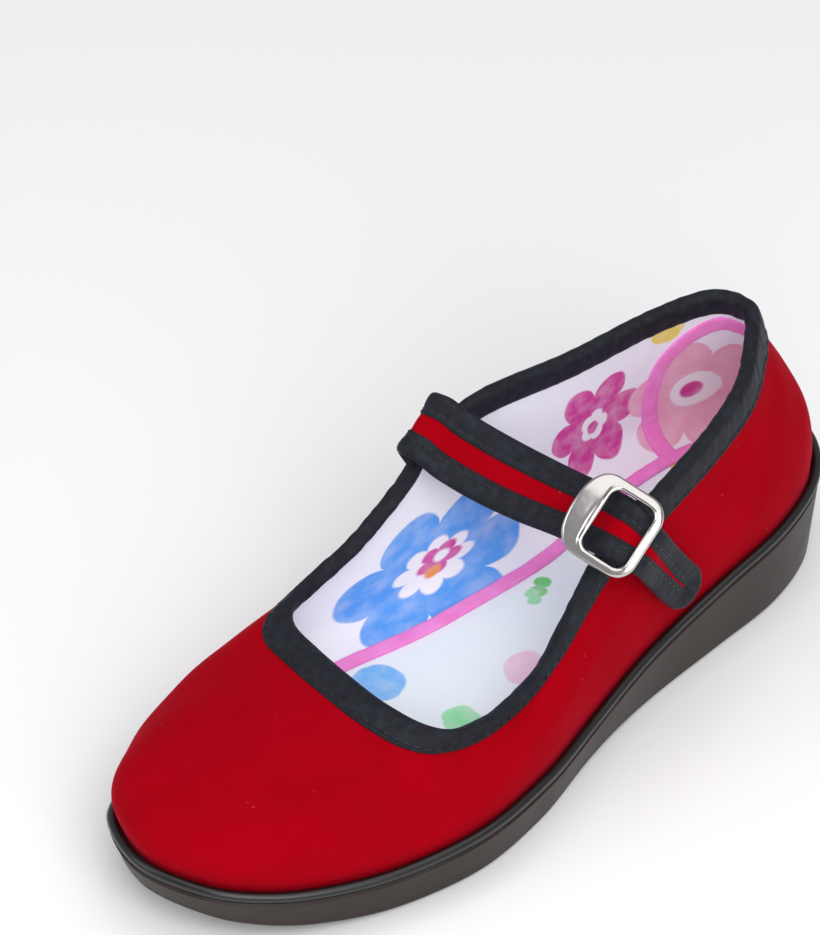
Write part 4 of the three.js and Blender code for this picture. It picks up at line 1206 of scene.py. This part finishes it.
def makeToplineBinding():
    t = np.linspace(*toplineEnds(), topBinding["stations"])
    line = curveAt(toplinePoints, t, True)
    length = lengthAlong(line)
    middle = topBinding["wall"] / 2
    radius = middle + topBinding["fold"]
    over = [(-radius * math.sin(turn), radius * math.cos(turn) - middle)
            for turn in np.radians(np.linspace(8, 172, 11))]
    profile = np.array(topBinding["outside"] + over + topBinding["inside"] + topBinding["back"])
    depth, off = profile.T
    shown = np.where(np.abs(off + middle) > 1.35, np.sign(off + middle), 0)
    waves = (0.12 * np.sin(length * 0.95) * np.sin(length * 0.23 + 1)
             + 0.06 * np.sin(length * 1.7 + 2) * np.sin(length * 0.11))
    rings = besideUpper(t, depth * hemTurn(line)[:, None], off + shown * waves[:, None])
    piece = gridPiece("topline_bias_binding", rings.transpose(1, 0, 2), length, lengthAlong(profile)[:, None])
    sewUp(piece, True)
    finishPiece(piece, blackTape, ["topline_binding"], 60)


# Stitches: one lockstitch modelled and laid along each bound edge

stitches = {
    "pitch": 3.1,
    "size": (2.3, 0.42, 0.3),
    "toplineDepth": 6.5,
    "toplineLift": 0.66,
    "hemShare": 0.25,
    "strapLift": 1.1,
}


def stitchLine(name, path, facing):
    length = lengthAlong(path)
    middles = np.arange(stitches["pitch"], length[-1] - stitches["pitch"], stitches["pitch"])
    bpy.ops.object.select_all(action="DESELECT")
    bpy.ops.mesh.primitive_uv_sphere_add(segments=8, ring_count=6, radius=0.5)
    seed = bpy.context.object
    shape = np.empty(len(seed.data.vertices) * 3)
    seed.data.vertices.foreach_get("co", shape)
    shape = shape.reshape(-1, 3)[:, [2, 0, 1]] * stitches["size"]
    faces = [tuple(face.vertices) for face in seed.data.polygons]
    bpy.data.objects.remove(seed)

    def at(values):
        return np.stack([np.interp(middles, length, values[:, k]) for k in range(3)], -1)

    way = unit(at(unit(np.gradient(path, axis=0))))
    side = unit(np.cross(unit(at(facing)), way))
    points = at(path)[:, None] + shape @ np.stack([way, side, np.cross(way, side)], 1)
    mesh = bpy.data.meshes.new(name)
    places = ((points.reshape(-1, 3) - rowOrigin) / 1000).tolist()
    starts = range(0, len(places), len(shape))
    mesh.from_pydata(places, [], [[start + k for k in face] for start in starts for face in faces])
    piece = bpy.data.objects.new(name, mesh)
    bpy.context.scene.collection.objects.link(piece)
    sewUp(piece)
    finishPiece(piece, blackThread, (), 80)


def makeStitches():
    t = np.linspace(*toplineEnds(), 1200)
    depth = stitches["toplineDepth"] * hemTurn(curveAt(toplinePoints, t, True))[:, None]
    path = besideUpper(t, depth, np.full(depth.shape, stitches["toplineLift"]))[:, 0]
    stitchLine("topline_stitches", path, upperWays(t, shareAtDepth(t, depth)[:, 0])[1])
    frames = strapFrames(strapShares(500))
    hem = hemOf(frames)
    reach = (hem + stitches["hemShare"] * (frames["half"] - hem))[:, None]
    for name, side in (("strap_rear_stitches", -1), ("strap_front_stitches", 1)):
        path = onStrap(frames, side * reach, np.full(reach.shape, stitches["strapLift"]))[:, 0]
        stitchLine(name, path, frames["facing"])


# Buckle: a polished frame with a broad plate, a window and a bar hidden under the strap

buckle = {
    "windowLength": 13,
    "plateLength": 7.6,
    "plateCorner": 0.25,
    "plateFlat": 0.55,
    "endBar": 2.7,
    "sideBar": 2.9,
    "through": 18,
    "sideGap": 0.05,
    "setBack": 1.4,
    "setFront": 0.3,
    "thickness": 1.8,
    "windowRound": 2.8,
    "frameRound": 6,
    "lip": 0.45,
    "lipWidth": 1.1,
    "lipSlope": 0.55,
    "dome": 0.5,
    "plateFall": 0.35,
    "bar": 1.6,
    "barBend": 1.2,
    "clearance": 0.9,
}

windowSide = buckle["through"] / 2 + buckle["sideGap"]


def windowLoop():
    r = buckle["windowRound"]
    x, y = buckle["windowLength"] / 2 - r, windowSide - r
    points = []
    for corner, start in (((x, y), 0), ((-x, y), 90), ((-x, -y), 180), ((x, -y), 270)):
        turn = np.radians(np.linspace(start, start + 90, 10))
        points.append(corner + r * np.stack([np.cos(turn), np.sin(turn)], -1))
    return np.concatenate(points)


def frameLoop():
    half = windowSide + buckle["sideBar"]
    window = buckle["windowLength"] / 2
    r, start = buckle["frameRound"], -window - buckle["plateLength"]
    turn = np.radians(np.linspace(0, 90, 14))
    corner = (window + buckle["endBar"] - r, half - r) + r * np.stack([np.cos(turn), np.sin(turn)], -1)
    plate = np.array([(-window, half), (start + buckle["plateLength"] * buckle["plateCorner"], half),
                      (start, half * buckle["plateFlat"]), (start, 0)])
    oneSide = np.concatenate([corner, bezierAt(plate, np.linspace(0, 1, 24)[:, None])])
    return np.concatenate([oneSide, oneSide[-2::-1] * (1, -1)])


def radiusAt(loop, angles):  # how far a star-shaped loop lies from the window's middle in each direction
    ends = np.roll(loop, -1, 0)
    way = np.stack([np.cos(angles), np.sin(angles)], -1)
    edge = ends - loop
    cross = way[:, None, 0] * edge[None, :, 1] - way[:, None, 1] * edge[None, :, 0]
    cross = np.where(np.abs(cross) < 1e-9, 1e-9, cross)
    far = (loop[None, :, 0] * edge[None, :, 1] - loop[None, :, 1] * edge[None, :, 0]) / cross
    part = (loop[None, :, 0] * way[:, None, 1] - loop[None, :, 1] * way[:, None, 0]) / cross
    hit = (far > 0) & (part > -1e-6) & (part < 1 + 1e-6)
    return np.where(hit, far, 0).max(1)


def buckleSeat():  # the buckle's own axes and place on the strap
    frames = strapFrames(np.array([buckleShare]))
    reach = buckle["windowLength"] / strapLength
    ahead, behind = curveAt(routePlaces, np.array([buckleShare + reach, buckleShare - reach]), False)
    along = unit(ahead - behind)
    facing = unit(np.cross(frames["across"][0], along))
    across = np.cross(facing, along)  # toward the heel
    place = (frames["place"][0] + facing * (strap["halfThick"] + buckle["clearance"])
             - along * buckle["setBack"] - across * buckle["setFront"])
    return np.array([along, across, facing]), place


def makeBuckle():
    axes, place = buckleSeat()
    angles = np.linspace(0, 2 * math.pi, 193)
    outer, inner = radiusAt(frameLoop(), angles), radiusAt(windowLoop(), angles)
    width = outer - inner
    thick = buckle["thickness"]
    turns = np.radians(np.linspace(-90, 90, 9))
    inset, rise = thick / 2 * (1 - np.cos(turns)), thick / 2 * (1 + np.sin(turns))
    rows = [(outer - inset[i], rise[i] + 0 * outer) for i in range(len(turns))]
    for share in np.linspace(0.06, 0.94, 12):  # over the face, raised to a lip beside the window
        radius = outer - thick / 2 - (width - thick) * share
        lip = buckle["lip"] * np.exp(-((radius - inner - buckle["lipWidth"]) / buckle["lipSlope"]) ** 2)
        rows.append((radius, thick + lip * np.minimum((width - 2.4) / 3, 1)))
    rows += [(inner + inset[i], rise[i] + 0 * outer) for i in range(len(turns))[::-1]]
    rows.append(rows[0])
    points = []
    for radius, height in rows:
        x, y = radius * np.cos(angles), radius * np.sin(angles)
        sag = buckle["dome"] * (y / windowSide) ** 2 + buckle["plateFall"] * np.maximum(-x / 12, 0) ** 2
        points.append(place + np.stack([x, y, height - sag], -1) @ axes)
    piece = gridPiece("buckle_frame", np.array(points))
    sewUp(piece)
    finishPiece(piece, polishedMetal, ["buckle"], 40)


def makeBuckleBar():  # the hidden bar and its two legs, one bent rod
    axes, place = buckleSeat()
    radius, bend = buckle["bar"] / 2, buckle["barBend"]
    drop = -2 * strap["halfThick"] - 2 * buckle["clearance"] - radius
    out = windowSide + buckle["sideBar"] / 2
    leg = [(0, out, 0.6), (0, out, drop / 2), (0, out, drop + bend), (0, out - 0.3 * bend, drop + 0.3 * bend),
           (0, out - bend, drop)]
    line = curveAt(leg + [(x, -y, z) for x, y, z in leg[::-1]], np.linspace(0, 1, 60), False)
    first = np.array((1.0, 0, 0))
    second = np.cross(unit(np.gradient(line, axis=0)), first)
    rows = [line + radius * (first * math.cos(turn) + second * math.sin(turn))
            for turn in np.linspace(0, 2 * math.pi, 13)]
    piece = gridPiece("buckle_bar", place + np.array(rows) @ axes)
    sewUp(piece, True)
    finishPiece(piece, paintedShadeSteel, (), 40)


# Tab: elastic that holds the hidden bar to the lateral side

tab = {
    "width": 9,
    "thickness": 1,
    "depth": 9.5,
    "barGap": 1.28,
    "strapGap": 1.92,
    "ride": 2.54,
    # side over the width, height over the thickness
    "profile": [(-0.5, 0), (-0.49, 0.4), (-0.44, 0.5), (0.44, 0.5), (0.49, 0.4), (0.5, 0), (0.49, -0.4),
                (0.44, -0.5), (-0.44, -0.5), (-0.49, -0.4), (-0.5, 0)],
}


def makeTab():
    top = strapFrames(np.array([buckleShare + (buckle["bar"] / 2 + tab["barGap"]) / strapLength]))
    start = top["place"][0] - top["facing"][0] * (strap["halfThick"] + tab["strapGap"] + tab["thickness"] / 2)
    depth = tab["depth"] * np.array([[0.3, 0.6, 1]])
    lower = besideUpper(np.array([crossShare]), depth, np.full(depth.shape, tab["ride"]))[0]
    path = curveAt([start, *lower], np.linspace(0, 1, 40), False)
    ends = curveAt(toplinePoints, crossShare + np.array([-1e-3, 1e-3]), True)
    across = unit(ends[1] - ends[0])
    facing = unit(np.cross(across, np.gradient(path, axis=0)))
    side, height = (np.array(tab["profile"]) * (tab["width"], tab["thickness"])).T[..., None]
    rows = path + across * side[..., None] + facing * height[..., None]
    piece = gridPiece("buckle_elastic", rows, lengthAlong(path), side)
    sewUp(piece, True)
    finishPiece(piece, blackElastic, ["buckle_tab"], 60)


makeOutsole()
makeUpper()
makeLining()
makeHeelTape()
makeInsole()
makeInsoleTape()
makeStrapCore()
makeStrapBinding()
makeToplineBinding()
makeStitches()
makeBuckle()
makeBuckleBar()
makeTab()


# Stage: a plain pale floor under soft studio light

studio = {
    "floor": (0.96, 0.96, 0.96),
    "floorFinish": {"Roughness": 0.9, "Specular IOR Level": 0.1},
    "world": (0.9, 0.92, 0.96),
    "worldStrength": 0.42,
    "aim": (0, 0, 0.03),
    # name, place, size, power, colour
    "lamps": [
        ("overhead", (0.0, 0.15, 1.2), 1.3, 6, (1, 0.99, 0.98)),
        ("fill", (0.5, 0.9, 0.8), 1, 10, (1, 1, 1)),
        ("toe", (0.9, -0.5, 0.7), 0.7, 2.6, (1, 1, 1)),
    ],
}


def makeStage():
    bpy.ops.object.select_all(action="DESELECT")
    bpy.ops.mesh.primitive_plane_add(size=12)
    floor = bpy.context.object
    floor.name = "paleFloor"
    floor.data.materials.append(newMaterial("paleFloor", studio["floor"], studio["floorFinish"])[0])
    world = bpy.data.worlds.new("studio")
    world.use_nodes = True
    back = world.node_tree.nodes["Background"]
    back.inputs["Color"].default_value = (*studio["world"], 1)
    back.inputs["Strength"].default_value = studio["worldStrength"]
    bpy.context.scene.world = world
    for name, place, size, power, colour in studio["lamps"]:
        light = bpy.data.lights.new(name, "AREA")
        light.size = size
        light.energy = power
        light.color = colour
        lamp = bpy.data.objects.new(name, light)
        away = Vector(place) - Vector(studio["aim"])
        lamp.matrix_world = Matrix.Translation(place) @ away.to_track_quat("Z", "Y").to_matrix().to_4x4()
        bpy.context.scene.collection.objects.link(lamp)


makeStage()
bpy.context.scene.view_settings.view_transform = "Standard"
